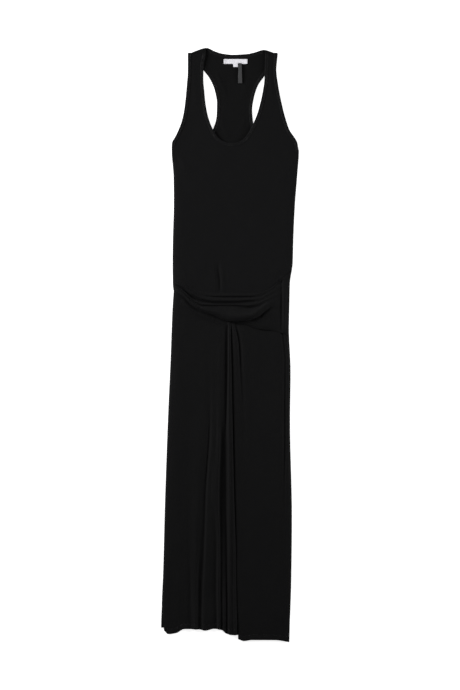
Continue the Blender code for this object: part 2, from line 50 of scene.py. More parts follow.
TABLE_SIDE = 40.0
TABLE_DROP = 0.0001
TABLE_GLOW = 0.8
VIEW_HEIGHT = 1.7595  # metres that the picture spans from top to bottom
LENS, SENSOR = 85.0, 36.0
SOFTBOXES = [  # place, width, height, watts
    ((-2.45, 1.10, 0.88), 1.0, 1.0, 112.0),
    ((2.00, 0.20, 0.66), 0.8, 0.8, 39.0),
]
ROOM = 0.15

scene = bpy.context.scene
scene.view_settings.view_transform = "Standard"

table_mesh = bpy.data.meshes.new("light_table")
half = TABLE_SIDE / 2
table_corners = [(-half, -half), (half, -half), (half, half), (-half, half)]
table_mesh.from_pydata([(x, y, -TABLE_DROP) for x, y in table_corners], [], [(0, 1, 2, 3)])
table = bpy.data.objects.new("light_table", table_mesh)
scene.collection.objects.link(table)
table_top = bpy.data.materials.new("light table")
table_top.use_nodes = True
table_shader = table_top.node_tree.nodes["Principled BSDF"]
table_shader.inputs["Base Color"].default_value = (0.9, 0.9, 0.9, 1)
table_shader.inputs["Roughness"].default_value = 0.9
table_shader.inputs["Specular IOR Level"].default_value = 0.1
table_shader.inputs["Emission Color"].default_value = (1, 1, 1, 1)
table_shader.inputs["Emission Strength"].default_value = TABLE_GLOW
table_mesh.materials.append(table_top)

room = bpy.data.worlds.new("dim room")
room.use_nodes = True
room.node_tree.nodes["Background"].inputs["Color"].default_value = (1, 1, 1, 1)
room.node_tree.nodes["Background"].inputs["Strength"].default_value = ROOM
scene.world = room

for stand, width, height, watts in SOFTBOXES:
    softbox = bpy.data.lights.new("softbox", "AREA")
    softbox.shape = "RECTANGLE"
    softbox.size, softbox.size_y = width, height
    softbox.energy = watts
    lamp = bpy.data.objects.new("softbox", softbox)
    lamp.location = stand
    lamp.rotation_euler = (-lamp.location).to_track_quat("-Z", "Y").to_euler()
    scene.collection.objects.link(lamp)

lens = bpy.data.cameras.new("overhead")
lens.lens = LENS
lens.sensor_width = SENSOR
camera = bpy.data.objects.new("overhead", lens)
camera.location = (0, 0, VIEW_HEIGHT * LENS / SENSOR)
scene.collection.objects.link(camera)
scene.camera = camera

# --- Back ---------------------------------------------------------------------------------------------
# The back is one length of fine black viscose jersey, cut away to a racer shape between the shoulder
# blades. It rolls forward over the shoulders to the seams, and its hem is turned up and twin stitched.

MM = 0.001
LENGTH = 1514.7  # high shoulder point to the lowest corner of the hem
CLOTH = 0.8  # thickness of the jersey
FLOOR_GAP = 0.05
BACK_TOP_LEVEL = FLOOR_GAP + CLOTH
RIM_TURNS = np.radians([45, 90, 135])  # angles of the points round a raw edge
HEM_RADIUS = 0.85
HEM_ROWS = (0.0, 1.2, 2.6, 4.5, 6.5, 8.6, 10.2, 11.0, 11.8, 12.7, 13.5, 14.3, 16.0, 18.5, 21.5)
HEM_STITCHES = (11.0, 13.5)  # how far above the edge the twin needles sew
HEM_TURNED = 10  # the turned-up cloth ends at this row
HEM_TURNS = np.radians([-90, -60, -30, 0, 30, 60])  # angles of the points round the fold of a hem
HEM_SLOPE = (13, 30)  # the cloth over a doubled hem comes down between these heights above the edge
STITCH_DIP, STITCH_DIP_WIDTH = 0.28, 0.7
BACK_DIP_SHARE = 0.5  # the stitches press the back's hem less than the front's

Edge = namedtuple("Edge", "down left right")
FRONT_EDGES = [
    Edge(15, -107.1, 121.4),
    Edge(57, -107.1, 117.8),
    Edge(96, -109.7, 122.5),
    Edge(155, -115.8, 134.4),
    Edge(185, -121.9, 142.5),
    Edge(210, -131.1, 151.3),
    Edge(228, -139.7, 163.5),
    Edge(241, -147.1, 170.9),
    Edge(249, -148.2, 172.6),
    Edge(264, -148.1, 175.2),
    Edge(333, -143.8, 170.9),
    Edge(394, -143.2, 166.0),
    Edge(485, -145.6, 161.7),
    Edge(548, -146.4, 160.0),
    Edge(600, -145.6, 152.5),
    Edge(640, -141.8, 151.5),
    Edge(733, -146.9, 149.9),
    Edge(848, -151.5, 154.3),
    Edge(963, -157.1, 153.0),
    Edge(1192, -165.8, 157.8),
    Edge(1345, -170.0, 156.1),
    Edge(1478, -175.2, 151.3),
    Edge(1515, -175.2, 150.2),
]
UNDERARM_LEFT, UNDERARM_RIGHT = 249.0, 264.0

Point = namedtuple("Point", "x down")
RACER_LEFT = [
    Point(-104.0, 15),
    Point(-88.0, 35),
    Point(-68.1, 55),
    Point(-50.2, 80),
    Point(-37.7, 111),
    Point(-32.9, 142),
    Point(-33.7, 172),
    Point(-41.3, 203),
    Point(-62.0, 230),
    Point(-100.0, 246),
    Point(-147.4, UNDERARM_LEFT),
]
RACER_RIGHT = [
    Point(118.0, 17),
    Point(105.0, 44),
    Point(88.0, 70),
    Point(71.1, 95),
    Point(60.9, 126),
    Point(56.1, 157),
    Point(58.1, 187),
    Point(68.0, 217),
    Point(92.0, 240),
    Point(128.0, 255),
    Point(174.4, UNDERARM_RIGHT),
]
BACK_TOP = [
    Point(-104.0, 15),
    Point(-84.0, 6.5),
    Point(-59.9, 0),
    Point(-40.0, 8.4),
    Point(-19.0, 14.8),
    Point(6.0, 17.6),
    Point(42.0, 15.9),
    Point(62.0, 12.0),
    Point(87.0, 5.2),
    Point(104.0, 9.8),
    Point(118.0, 17),
]
BACK_HEM = [Point(-175.2, 1478), Point(-100, 1474), Point(60, 1480), Point(151, 1498)]
BACK_INSET, INSET_OVER = 0.8, 200  # how far inside the front its sides lie, from how far above the hem
BACK_ROWS, BACK_ARM_ROWS, BACK_COLUMNS = 110, 60, 61
FIRST_EVEN_ROW = 26  # how far above the hem the even rows begin
HEM_CURVED, TOP_CURVED = 40, 22  # how many rows take up the curves of the hem and of the top
BACK_LIFT = 0.25
BACK_COVERED = (250, 330)  # its waves die away between these, where the front comes to cover it

# Shoulders: x of the seam's two ends, how far down it lies, and the roll of the cloth over the top.
SHOULDER_SEAM = 15.0
SHOULDERS = [(-106.6, -61.8), (90.5, 120.6)]
SHOULDER_RADIUS, SHOULDER_LEVEL = 1.7, 4.0
SHOULDER_FORWARD = 2.5  # the cloth reaches from the roll to the seam over at least this
SHOULDER_BLEND = 2  # the neck's edge meets the roll within this distance of its inner end
SHOULDER_COLUMNS, SHOULDER_TURNS, SHOULDER_ROWS = 30, 11, 9
SEAM_DIP, SEAM_DIP_OVER = 0.5, 4  # how deep the shoulder seam is sunk, and over how much of the front
SHOULDER_PUCKER, PUCKER_LENGTH = 0.25, 4.1

# Soft waves in the cloth, each a cosine along its own direction, and creases, each a ridge (or with a
# height below 0 a trough) that dies away at both ends.
Wave = namedtuple("Wave", "length turn height phase")
Crease = namedtuple("Crease", "x down to_x to_down height width")
BACK_WAVES = [
    Wave(83, 20, 0.10, 0.4),
    Wave(57, -35, 0.07, 2.1),
    Wave(121, 80, 0.10, 4.0),
]
BACK_CREASES = [
    Crease(-34, 66, -8, 118, 0.9, 5),
    Crease(52, 74, 28, 128, 0.7, 6),
    Crease(-20, 150, 34, 176, 0.5, 8),
    Crease(-24, 178, -6, 232, 0.6, 6),
    Crease(42, 168, 22, 226, 0.5, 5),
    Crease(-2, 62, 4, 140, -0.4, 9),
]


def smooth(at, knots, values):
    """The value at each place on a smooth line through the knots: cubic pieces whose slope at a knot is
    the harmonic mean of the slopes on its two sides, or level where the line turns."""
    knots, values = np.asarray(knots, float), np.asarray(values, float)
    step = np.diff(knots)
    slope = np.diff(values) / step
    tangent = np.zeros(len(knots))
    tangent[0], tangent[-1] = slope[0], slope[-1]
    rising = slope[:-1] * slope[1:] > 0
    before, after = slope[:-1][rising], slope[1:][rising]
    tangent[1:-1][rising] = 2 * before * after / (before + after)
    at = np.clip(at, knots[0], knots[-1])
    i = np.clip(np.searchsorted(knots, at) - 1, 0, len(step) - 1)
    t = (at - knots[i]) / step[i]
    rise = values[i + 1] - values[i]
    bend = (t - 2 * t**2 + t**3) * tangent[i] - (t**2 - t**3) * tangent[i + 1]
    return values[i] + rise * t**2 * (3 - 2 * t) + bend * step[i]


def ease(at, low, high):
    """0 up to low and 1 from high on, with a soft start and end between them."""
    t = np.clip((at - low) / (high - low), 0, 1)
    return t**2 * (3 - 2 * t)


def column(table, key, name):
    """A table's column as a smooth function of its key column."""
    knots = [getattr(row, key) for row in table]
    values = [getattr(row, name) for row in table]
    return lambda at: smooth(at, knots, values)


def joined(*values):
    """One array of points from arrays of their coordinates, each spread over the shape of them all."""
    return np.stack(np.broadcast_arrays(*values), axis=-1)


def unit(vectors):
    """The vectors, each divided by its length."""
    return vectors / np.linalg.norm(vectors, axis=-1)[..., None]


def lengths(points):
    """How far along its line each point lies, for lines that run down the first axis: the sum of the
    steps up to it."""
    steps = np.linalg.norm(np.diff(points, axis=0), axis=-1)
    return np.concatenate([0 * steps[:1], np.cumsum(steps, axis=0)])


def along(points, share):
    """Points (x, down) at these shares of the length of a smooth line through the given ones."""
    points = np.asarray(points, float)
    reach = lengths(points)
    return joined(*[smooth(share * reach[-1], reach, values) for values in points.T])


def run_through(knots, between):
    """Points on smooth lines through rows of knots, with these counts of points from each knot to the
    next. The lines are cubic as in smooth(), each coordinate against the length of the straight runs, so
    a line may double back in x and still turn smoothly."""
    step = np.diff(knots, axis=1)
    length = np.hypot(step[..., 0], step[..., 1])[..., None]
    slope = step / length
    before, after = slope[:, :-1], slope[:, 1:]
    both = np.where(before * after > 0, before + after, 1)
    tangent = np.where(before * after > 0, 2 * before * after / both, 0)
    tangent = np.concatenate([slope[:, :1], tangent, slope[:, -1:]], axis=1)
    pieces = [knots[:, :1]]
    for i, count in enumerate(between):
        t = np.linspace(0, 1, count + 1)[1:, None]
        bend = (t - 2 * t**2 + t**3) * tangent[:, i, None] - (t**2 - t**3) * tangent[:, i + 1, None]
        pieces.append(knots[:, i, None] + step[:, i, None] * t**2 * (3 - 2 * t) + length[:, i, None] * bend)
    return np.concatenate(pieces, axis=1)


def waved(x, down, waves):
    """Height of the cloth's soft waves: a sum of cosines of the distance along each wave's direction."""
    height = 0.0
    for wave in waves:
        turn = np.radians(wave.turn)
        run = x * np.cos(turn) + down * np.sin(turn)
        height = height + wave.height * np.cos(2 * np.pi * run / wave.length + wave.phase)
    return height


def creased(x, down, creases):
    """Height of the creases: across each a bell curve, along it the root of a half sine."""
    height = 0.0
    for crease in creases:
        run = np.array([crease.to_x - crease.x, crease.to_down - crease.down])
        length = np.hypot(*run)
        run = run / length
        share = ((x - crease.x) * run[0] + (down - crease.down) * run[1]) / length
        off = ((x - crease.x) * run[1] - (down - crease.down) * run[0]) / crease.width
        fade = np.sqrt(np.sin(np.pi * np.clip(share, 0, 1)))
        height = height + crease.height * fade * np.exp(-(off**2))
    return height


def place(x, down, z):
    """Points in millimetres from x, the distance down the dress and the height."""
    return joined(x, LENGTH / 2 - down, z)


def laid(x, down, z):
    """A sheet that lies as it was cut: its points, and their places on the cut cloth."""
    return place(x, down, z), joined(x, -down)


def quad_mesh(name, points, quads, flat, material):
    """An object of four-sided faces. Points are in millimetres, and flat is each point's place on the cut
    cloth, which becomes the UV map in metres."""
    mesh = bpy.data.meshes.new(name)
    mesh.vertices.add(len(points))
    mesh.vertices.foreach_set("co", (points * MM).astype(np.float32).ravel())
    mesh.loops.add(quads.size)
    mesh.loops.foreach_set("vertex_index", quads.astype(np.int32).ravel())
    mesh.polygons.add(len(quads))
    mesh.polygons.foreach_set("loop_start", np.arange(0, quads.size, 4, dtype=np.int32))
    mesh.update(calc_edges=True)
    cut = mesh.uv_layers.new(name="cut")
    cut.uv.foreach_set("vector", (flat * MM).astype(np.float32)[quads.ravel()].ravel())
    mesh.shade_smooth()
    mesh.materials.append(material)
    piece = bpy.data.objects.new(name, mesh)
    scene.collection.objects.link(piece)
    return piece


def shell(name, sheets, wall, material):
    """A closed piece of cloth with rounded edges.

    Each sheet is a grid of points, rows up the dress and columns to the right, with a grid of places on
    the cut cloth. Sheets are joined where their points meet. The inner side lies one wall under the outer
    one along the normals, and half a circle joins the two along every edge.
    """
    points = np.concatenate([sheet.reshape(-1, 3) for sheet, _ in sheets])
    flat = np.concatenate([cut.reshape(-1, 2) for _, cut in sheets])
    quads, used = [], 0
    for sheet, _ in sheets:
        rows, columns = sheet.shape[:2]
        index = used + np.arange(rows * columns).reshape(rows, columns)
        corners = index[:-1, :-1], index[:-1, 1:], index[1:, 1:], index[1:, :-1]
        quads.append(np.stack(corners, axis=-1).reshape(-1, 4))
        used += rows * columns
    _, first, same = np.unique(points.round(3), axis=0, return_index=True, return_inverse=True)
    points, flat, quads = points[first], flat[first], same.reshape(-1)[np.concatenate(quads)]
    count = len(points)

    corner = [points[quads[:, i]] for i in range(4)]
    face = np.cross(corner[2] - corner[0], corner[3] - corner[1])
    normal = np.zeros_like(points)
    for i in range(4):
        np.add.at(normal, quads[:, i], face)
    normal /= np.linalg.norm(normal, axis=1)[:, None]

    start, end = quads.ravel(), np.roll(quads, -1, axis=1).ravel()
    lone = ~np.isin(start * count + end, end * count + start)
    start, end = start[lone], end[lone]
    away = np.cross(points[end] - points[start], normal[start] + normal[end])
    outward = np.zeros_like(points)
    np.add.at(outward, start, away)
    np.add.at(outward, end, away)
    rim = np.unique(start)
    outward = outward[rim] / np.linalg.norm(outward[rim], axis=1)[:, None]
    on_rim = np.zeros(count, int)
    on_rim[rim] = np.arange(len(rim))

    centre = points[rim] - normal[rim] * wall / 2
    rounds = [
        centre + wall / 2 * (outward * np.sin(turn) + normal[rim] * np.cos(turn)) for turn in RIM_TURNS
    ]
    steps = [np.arange(count)]
    steps += [2 * count + i * len(rim) + on_rim for i in range(len(RIM_TURNS))]
    steps += [np.arange(count) + count]
    faces = [quads, quads[:, ::-1] + count]
    for upper, lower in zip(steps, steps[1:]):
        faces.append(np.stack([upper[start], lower[start], lower[end], upper[end]], axis=-1))
    points = np.concatenate([points, points - normal * wall, *rounds])
    flat = np.concatenate([flat, flat] + [flat[rim]] * len(RIM_TURNS))
    return quad_mesh(name, points, np.concatenate(faces), flat, material)


def turned_hem(sheet, cut):
    """The sheet with its hem turned up inside: half a circle round the fold, then back up under itself."""
    doubled = sheet[: HEM_TURNED + 1]
    up = unit(sheet[1] - sheet[0])
    normal = unit(np.cross(np.gradient(doubled, axis=1), np.gradient(doubled, axis=0)))
    inside = (doubled - 2 * HEM_RADIUS * normal)[:0:-1]
    centre = sheet[0] - HEM_RADIUS * normal[0]
    fold = [
        centre + HEM_RADIUS * (np.sin(turn) * normal[0] - np.cos(turn) * up) for turn in HEM_TURNS
    ]
    below = cut[HEM_TURNED:0:-1].copy()
    below[..., 1] = 2 * cut[0, :, 1] - below[..., 1]
    flat = [below] + [cut[:1]] * len(HEM_TURNS) + [cut]
    return np.concatenate([inside, np.stack(fold), sheet]), np.concatenate(flat)


def hem_pressed(above):
    """Height lost in the two rows of stitches along a hem, at this distance above its edge."""
    rows = [np.exp(-(((above - row) / STITCH_DIP_WIDTH) ** 2)) for row in HEM_STITCHES]
    return STITCH_DIP * sum(rows)


left_edge = column(FRONT_EDGES, "down", "left")
right_edge = column(FRONT_EDGES, "down", "right")
back_top = column(BACK_TOP, "x", "down")
back_hem = column(BACK_HEM, "x", "down")


def node(tree, kind, *inputs, **settings):
    """A shader node's first output. Inputs fill its sockets in order, with None for one left as it is."""
    made = tree.nodes.new("ShaderNode" + kind)
    for name, value in settings.items():
        setattr(made, name, value)
    for socket, value in zip(made.inputs, inputs):
        if isinstance(value, bpy.types.NodeSocket):
            tree.links.new(value, socket)
        elif value is not None:
            socket.default_value = value
    return made.outputs[0]


def math(tree, operation, *inputs):
    """The output of a Math node that these sockets and numbers go into."""
    return node(tree, "Math", *inputs, operation=operation)


def group(name, inputs, outputs):
    """An empty node group with these sockets, and its input and output nodes."""
    tree = bpy.data.node_groups.new(name, "ShaderNodeTree")
    for socket, kind, value in inputs:
        made = tree.interface.new_socket(socket, in_out="INPUT", socket_type="NodeSocket" + kind)
        if value is not None:
            made.default_value = value
    for socket, kind in outputs:
        tree.interface.new_socket(socket, in_out="OUTPUT", socket_type="NodeSocket" + kind)
    return tree, tree.nodes.new("NodeGroupInput").outputs, tree.nodes.new("NodeGroupOutput").inputs


# Plain knitting: in each wale two slanting legs of yarn make a V, and the Vs nest down the wale.
knit, given, gives = group(
    "plain knit",
    [("Cut", "Vector", None), ("Wale", "Float", 0.00075), ("Course", "Float", 0.00062)],
    [("Height", "Float")],
)
axes = knit.nodes.new("ShaderNodeSeparateXYZ")
knit.links.new(given["Cut"], axes.inputs[0])
wale = math(knit, "DIVIDE", axes.outputs["X"], given["Wale"])
course = math(knit, "DIVIDE", axes.outputs["Y"], given["Course"])
from_middle = math(knit, "ABSOLUTE", math(knit, "SUBTRACT", math(knit, "FRACT", wale), 0.5))
legs = math(knit, "ABSOLUTE", math(knit, "SINE", math(knit, "MULTIPLY", wale, 2 * np.pi)))
slanted = math(knit, "ADD", course, math(knit, "MULTIPLY", from_middle, 1.6))
loops = math(knit, "COSINE", math(knit, "MULTIPLY", slanted, 2 * np.pi))
loops = math(knit, "MULTIPLY_ADD", loops, 0.25, 0.75)
knit.links.new(math(knit, "MULTIPLY", legs, loops), gives["Height"])

# The dye and the yarn are never quite even: broad soft patches, and a fine heather of single stitches.
cloth_tone, given, gives = group(
    "cloth tone",
    [("Place", "Vector", None), ("Colour", "Color", (0.01, 0.01, 0.01, 1)), ("Roughness", "Float", 0.8)],
    [("Colour", "Color"), ("Roughness", "Float")],
)
patches = node(cloth_tone, "TexNoise", given["Place"], None, 7.0, 3.0, 0.5)
heather = node(cloth_tone, "TexNoise", given["Place"], None, 700.0, 2.0, 0.6)
tone = math(cloth_tone, "MULTIPLY_ADD", patches, 0.30, 0.85)
tone = math(cloth_tone, "MULTIPLY", tone, math(cloth_tone, "MULTIPLY_ADD", heather, 0.36, 0.82))
tinted = node(cloth_tone, "VectorMath", given["Colour"], None, None, tone, operation="SCALE")
cloth_tone.links.new(tinted, gives["Colour"])
worn = math(cloth_tone, "MULTIPLY_ADD", patches, 0.12, -0.06)
cloth_tone.links.new(math(cloth_tone, "ADD", given["Roughness"], worn), gives["Roughness"])


def mottled(name, colour, roughness, look):
    """A material whose colour and roughness are faintly uneven over the piece, with the rest of its look."""
    material = bpy.data.materials.new(name)
    material.use_nodes = True
    tree = material.node_tree
    shader = tree.nodes["Principled BSDF"]
    for socket, value in look.items():
        shader.inputs[socket].default_value = value
    tone = tree.nodes.new("ShaderNodeGroup")
    tone.node_tree = cloth_tone
    where = tree.nodes.new("ShaderNodeTexCoord")
    tree.links.new(where.outputs["Object"], tone.inputs["Place"])
    tone.inputs["Colour"].default_value = (*colour, 1)
    tone.inputs["Roughness"].default_value = roughness
    tree.links.new(tone.outputs["Colour"], shader.inputs["Base Color"])
    tree.links.new(tone.outputs["Roughness"], shader.inputs["Roughness"])
    return material


def embossed(material, relief, strength, depth):
    """The material with this relief on it, which follows the cut cloth."""
    tree = material.node_tree
    cut = node(tree, "UVMap", uv_map="cut")
    bump = tree.nodes.new("ShaderNodeBump")
    bump.inputs["Strength"].default_value = strength
    bump.inputs["Distance"].default_value = depth
    tree.links.new(node(tree, "Group", cut, node_tree=relief), bump.inputs["Height"])
    tree.links.new(bump.outputs["Normal"], tree.nodes["Principled BSDF"].inputs["Normal"])
    return material


def jersey(name, colour, roughness=0.82, sheen=0.08):
    """Fine knitted viscose: nearly matt black with a faint bloom, its wales running along the cut cloth."""
    look = {
        "Specular IOR Level": 0.10,
        "Sheen Weight": sheen,
        "Sheen Roughness": 0.35,
        "Sheen Tint": (0.42, 0.42, 0.45, 1),
    }
    return embossed(mottled(name, colour, roughness, look), knit, strength=0.5, depth=0.00012)


def finish_piece(piece, slot, *nodes):
    """The piece rides on the dress and stands for these solids, which are hidden. The slot is not used."""
    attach(piece, "root")
    if nodes:
        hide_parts(*nodes)


def ruled(start, end, shares):
    """x and down of rows of points, each row at the given shares between its two ends."""
    grid = start[:, None] + (end - start)[:, None] * np.asarray(shares)[None, :, None]
    return grid[..., 0], grid[..., 1]


def back_side(edge, inset, underarm, racer, corner):
    """x and down along one side of the back: its seam from the hem up, then its armhole."""
    up = np.concatenate([HEM_ROWS, np.linspace(FIRST_EVEN_ROW, corner - underarm, BACK_ROWS)])
    down = corner - HEM_RADIUS - np.minimum(up, corner - HEM_RADIUS - underarm)
    x = edge(down) + inset * ease(corner - down, 0, INSET_OVER)
    return np.concatenate([joined(x, down)[:-1], along(racer, np.linspace(1, 0, BACK_ARM_ROWS))])


back_left = back_side(left_edge, BACK_INSET, UNDERARM_LEFT, RACER_LEFT, BACK_HEM[0].down)
back_right = back_side(right_edge, -BACK_INSET, UNDERARM_RIGHT, RACER_RIGHT, BACK_HEM[-1].down)
x, down = ruled(back_left, back_right, np.linspace(0, 1, BACK_COLUMNS))
near_hem = np.clip(1 - np.arange(len(x)) / HEM_CURVED, 0, 1)[:, None]
near_top = ease(np.arange(len(x)), len(x) - TOP_CURVED, len(x) - 1)[:, None]
down += near_hem * (back_hem(x[0]) - HEM_RADIUS - down[0])
shoulder = 1 - ease(x[-1] - SHOULDERS[0][1], -SHOULDER_BLEND, SHOULDER_BLEND)
shoulder += ease(x[-1] - SHOULDERS[1][0], -SHOULDER_BLEND, SHOULDER_BLEND)
down += near_top * (back_top(x[-1]) + SHOULDER_RADIUS * shoulder - down[-1])
lift = (waved(x, down, BACK_WAVES) + BACK_LIFT) * (1 - ease(down, *BACK_COVERED))
lift += creased(x, down, BACK_CREASES)
above = down[0] - down
z = BACK_TOP_LEVEL + np.maximum(lift, 0) - hem_pressed(above) * BACK_DIP_SHARE
z += 2 * HEM_RADIUS * (1 - ease(above, *HEM_SLOPE))
back_sheets = [turned_hem(*laid(x, down, z))]

for outer, inner in SHOULDERS:
    x = np.linspace(*sorted((outer, inner)), SHOULDER_COLUMNS)[None]
    top = np.minimum(back_top(x), SHOULDER_SEAM - SHOULDER_FORWARD) + SHOULDER_RADIUS
    turn = np.radians(np.linspace(90, -90, SHOULDER_TURNS))[:, None]
    forward = np.linspace(0, 1, SHOULDER_ROWS)[:-1, None]
    down = np.concatenate([
        SHOULDER_SEAM + forward * (top - SHOULDER_SEAM),
        top - SHOULDER_RADIUS * np.cos(turn),
    ])
    z = np.concatenate([
        SHOULDER_LEVEL - SEAM_DIP * (1 - ease(forward, 0, 0.35)) + 0 * x,
        SHOULDER_LEVEL - SHOULDER_RADIUS + SHOULDER_RADIUS * np.sin(turn) + 0 * x,
    ])
    z += SHOULDER_PUCKER * np.sin(x / PUCKER_LENGTH) * ease(z, 1.5, 4)
    back_sheets.append(laid(x, down, z))

# Darker than the fronts: partly the duller wrong side of the jersey, partly painted shade for lying deeper,
# under the front.
back = shell("back", back_sheets, CLOTH, jersey("back jersey", (0.0031, 0.0031, 0.0033)))
finish_piece(back, "jersey", "back_panel")

# --- Bodice -------------------------------------------------------------------------------------------
# The front bodice is one piece of the same jersey from the straps down to the hip seam, scooped at the
# neck. It lies loose on the back, swells beside the side seams and rolls down over them.

LEVEL = 4.2  # top of the front where it lies flat
SEAM_GAP = 0.3
MIDDLE = 5.0
NECKLINE = [
    Edge(15, -61.8, 90.5),
    Edge(48, -67.6, 89.3),
    Edge(80, -68.3, 88.1),
    Edge(111, -65.8, 83.9),
    Edge(142, -62.7, 77.3),
    Edge(172, -57.1, 68.6),
    Edge(203, -46.4, 54.8),
    Edge(222, -36.0, 44.0),
    Edge(235, -23.0, 31.5),
    Edge(241.5, -9.0, 18.5),
    Edge(243, MIDDLE, MIDDLE),
]
HIP_SEAM = [Point(-146.0, 607), Point(2.6, 672), Point(152.0, 640)]
BODICE_ROWS, STRAP_ROWS = 78, 56
FOOT_CURVED = 24  # how many rows take up the slant of the hip seam
NECK_STEPS = 4001  # places at which the lowest point of the neck is looked for
# Columns from a side to the middle, closest at the side.
BODICE_COLUMNS = np.concatenate([1 - np.cos(np.linspace(0, 0.42, 9)), np.linspace(0.11, 1, 32)])
CROWN_DROP, CROWN_WIDTH = 1.1, 24.0  # the cloth slopes down gently towards a side seam,
ROLL_DROP, ROLL_WIDTH = 2.0, 8.0  # and rolls down over it,
SWELL, SWELL_AT = 1.3, 20.0  # and swells a little beside it
ROLL_FROM, ROLL_WHOLE = 268.0, 320.0  # above the first the armhole binding keeps the front flat
WAVES_WHOLE = 20  # how far inside a side seam the waves reach their whole height

FRONT_WAVES = [
    Wave(140, 8, 0.22, 0.3),
    Wave(91, -24, 0.14, 1.9),
    Wave(63, 37, 0.09, 4.4),
    Wave(210, 74, 0.20, 2.6),
    Wave(47, -63, 0.05, 0.8),
]
BODICE_CREASES = [
    Crease(-31.5, 546, -25, 626, -2.8, 4.0),
    Crease(-23, 546, -17, 624, 1.5, 4.5),
    Crease(-42, 552, -36, 616, 0.7, 6),
    Crease(108, 596, 140, 566, -0.8, 5),
    Crease(128, 572, 129, 640, -1.2, 4),
    Crease(-140, 262, -96, 330, 0.8, 9),
    Crease(-144, 288, -112, 372, -0.5, 8),
    Crease(168, 280, 118, 352, 0.9, 10),
    Crease(164, 318, 136, 400, -0.5, 8),
    Crease(-138, 560, -104, 596, 0.9, 6),
    Crease(-140, 530, -88, 590, -0.5, 8),
    Crease(-60, 585, -20, 628, 0.5, 9),
    Crease(-94, 40, -84, 160, 0.4, 7),
    Crease(104, 44, 108, 150, 0.4, 6),
    Crease(-52, 252, -4, 300, 0.4, 12),
    Crease(66, 250, 20, 312, 0.4, 12),
    Crease(20, 470, 108, 520, 0.35, 16),
    Crease(-120, 430, -40, 478, 0.3, 14),
]


def hip_seam(x):
    """How far down the seam between bodice and skirt lies, in two straight runs."""
    return np.interp(x, *zip(*HIP_SEAM))


def rolled(distance):
    """Height against LEVEL at this distance from a side seam: a swell, r exp(1 - r) of its height, less a
    parabola and a quarter of an ellipse where the cloth rolls down."""
    distance = np.maximum(distance, 0)
    wide = np.clip(1 - distance / CROWN_WIDTH, 0, 1)
    short = np.clip(1 - distance / ROLL_WIDTH, 0, 1)
    swell = SWELL * distance / SWELL_AT * np.exp(1 - distance / SWELL_AT)
    return swell - CROWN_DROP * wide**2 - ROLL_DROP * (1 - np.sqrt(1 - short**2))


def from_seams(x, down):
    """How far inside the nearer side seam a place lies."""
    return np.minimum(x - left_edge(down), right_edge(down) - x)


def bodice_plain(x, down):
    """Top of the bodice without its waves and creases: its level and its rolled sides."""
    return LEVEL + rolled(from_seams(x, down)) * ease(down, ROLL_FROM, ROLL_WHOLE)


def bodice_top(x, down):
    """Top of the bodice: the plain one with its soft waves and its creases."""
    loose = ease(from_seams(x, down), 0, WAVES_WHOLE)
    return bodice_plain(x, down) + (waved(x, down, FRONT_WAVES) + creased(x, down, BODICE_CREASES)) * loose


def neckline(share):
    """Points of the scooped neck, from the left shoulder round to the right one."""
    left = [(row.left, row.down) for row in NECKLINE]
    right = [(row.right, row.down) for row in reversed(NECKLINE[:-1])]
    return along(left + right, share)


def front_armhole(side, underarm, rows):
    """Points of a front armhole, from the underarm up to the shoulder."""
    table = [row for row in FRONT_EDGES if row.down <= underarm]
    points = [(getattr(row, side), row.down) for row in reversed(table)]
    return along(points, np.linspace(0, 1, rows))


def bodice_half(edge, side, underarm, neck_end):
    """x and down of one half of the front, its rows running from the outer edge inwards."""
    body = np.linspace(0, 1, BODICE_ROWS)
    foot = hip_seam(edge(HIP_SEAM[1].down)) - SEAM_GAP / 2
    seam_down = foot + (underarm - foot) * body
    seam = np.stack([edge(seam_down), seam_down], axis=-1)
    outer = np.concatenate([seam[:-1], front_armhole(side, underarm, STRAP_ROWS)])
    shares = np.linspace(0, 1, NECK_STEPS)
    lowest = shares[np.argmax(neckline(shares)[:, 1])]
    middle_foot = np.array([HIP_SEAM[1].x, HIP_SEAM[1].down - SEAM_GAP / 2])
    scoop = np.array([MIDDLE, NECKLINE[-1].down])
    centre = middle_foot + body[:, None] * (scoop - middle_foot)
    inner = np.concatenate([centre, neckline(np.linspace(lowest, neck_end, STRAP_ROWS))[1:]])
    x, down = ruled(outer, inner, BODICE_COLUMNS)
    near_foot = np.clip(1 - np.arange(len(outer)) / FOOT_CURVED, 0, 1)[:, None]
    down += near_foot * (hip_seam(x[0]) - SEAM_GAP / 2 - down[0])
    return x, down


bodice_sheets = []
for edge, side, underarm, neck_end in (
    (left_edge, "left", UNDERARM_LEFT, 0),
    (right_edge, "right", UNDERARM_RIGHT, 1),
):
    x, down = bodice_half(edge, side, underarm, neck_end)
    if side == "right":
        x, down = x[:, ::-1], down[:, ::-1]
    z = bodice_top(x, down) - SEAM_DIP * (1 - ease(down - SHOULDER_SEAM, 0, SEAM_DIP_OVER))
    bodice_sheets.append(laid(x, down, z))

# Its shade of the one jersey is set to how brightly the upper dress is lit: painted light.
bodice = shell("bodice", bodice_sheets, CLOTH, jersey("bodice jersey", (0.0039, 0.0039, 0.0042)))
finish_piece(bodice, "jersey", "front_bodice")

# --- Skirt --------------------------------------------------------------------------------------------
# The skirt's front is in two: a left front in soft pleats, and a smooth right front whose free edge lies
# on it. Both hang from the hip seam under the drape, and their hems are turned up and twin stitched.

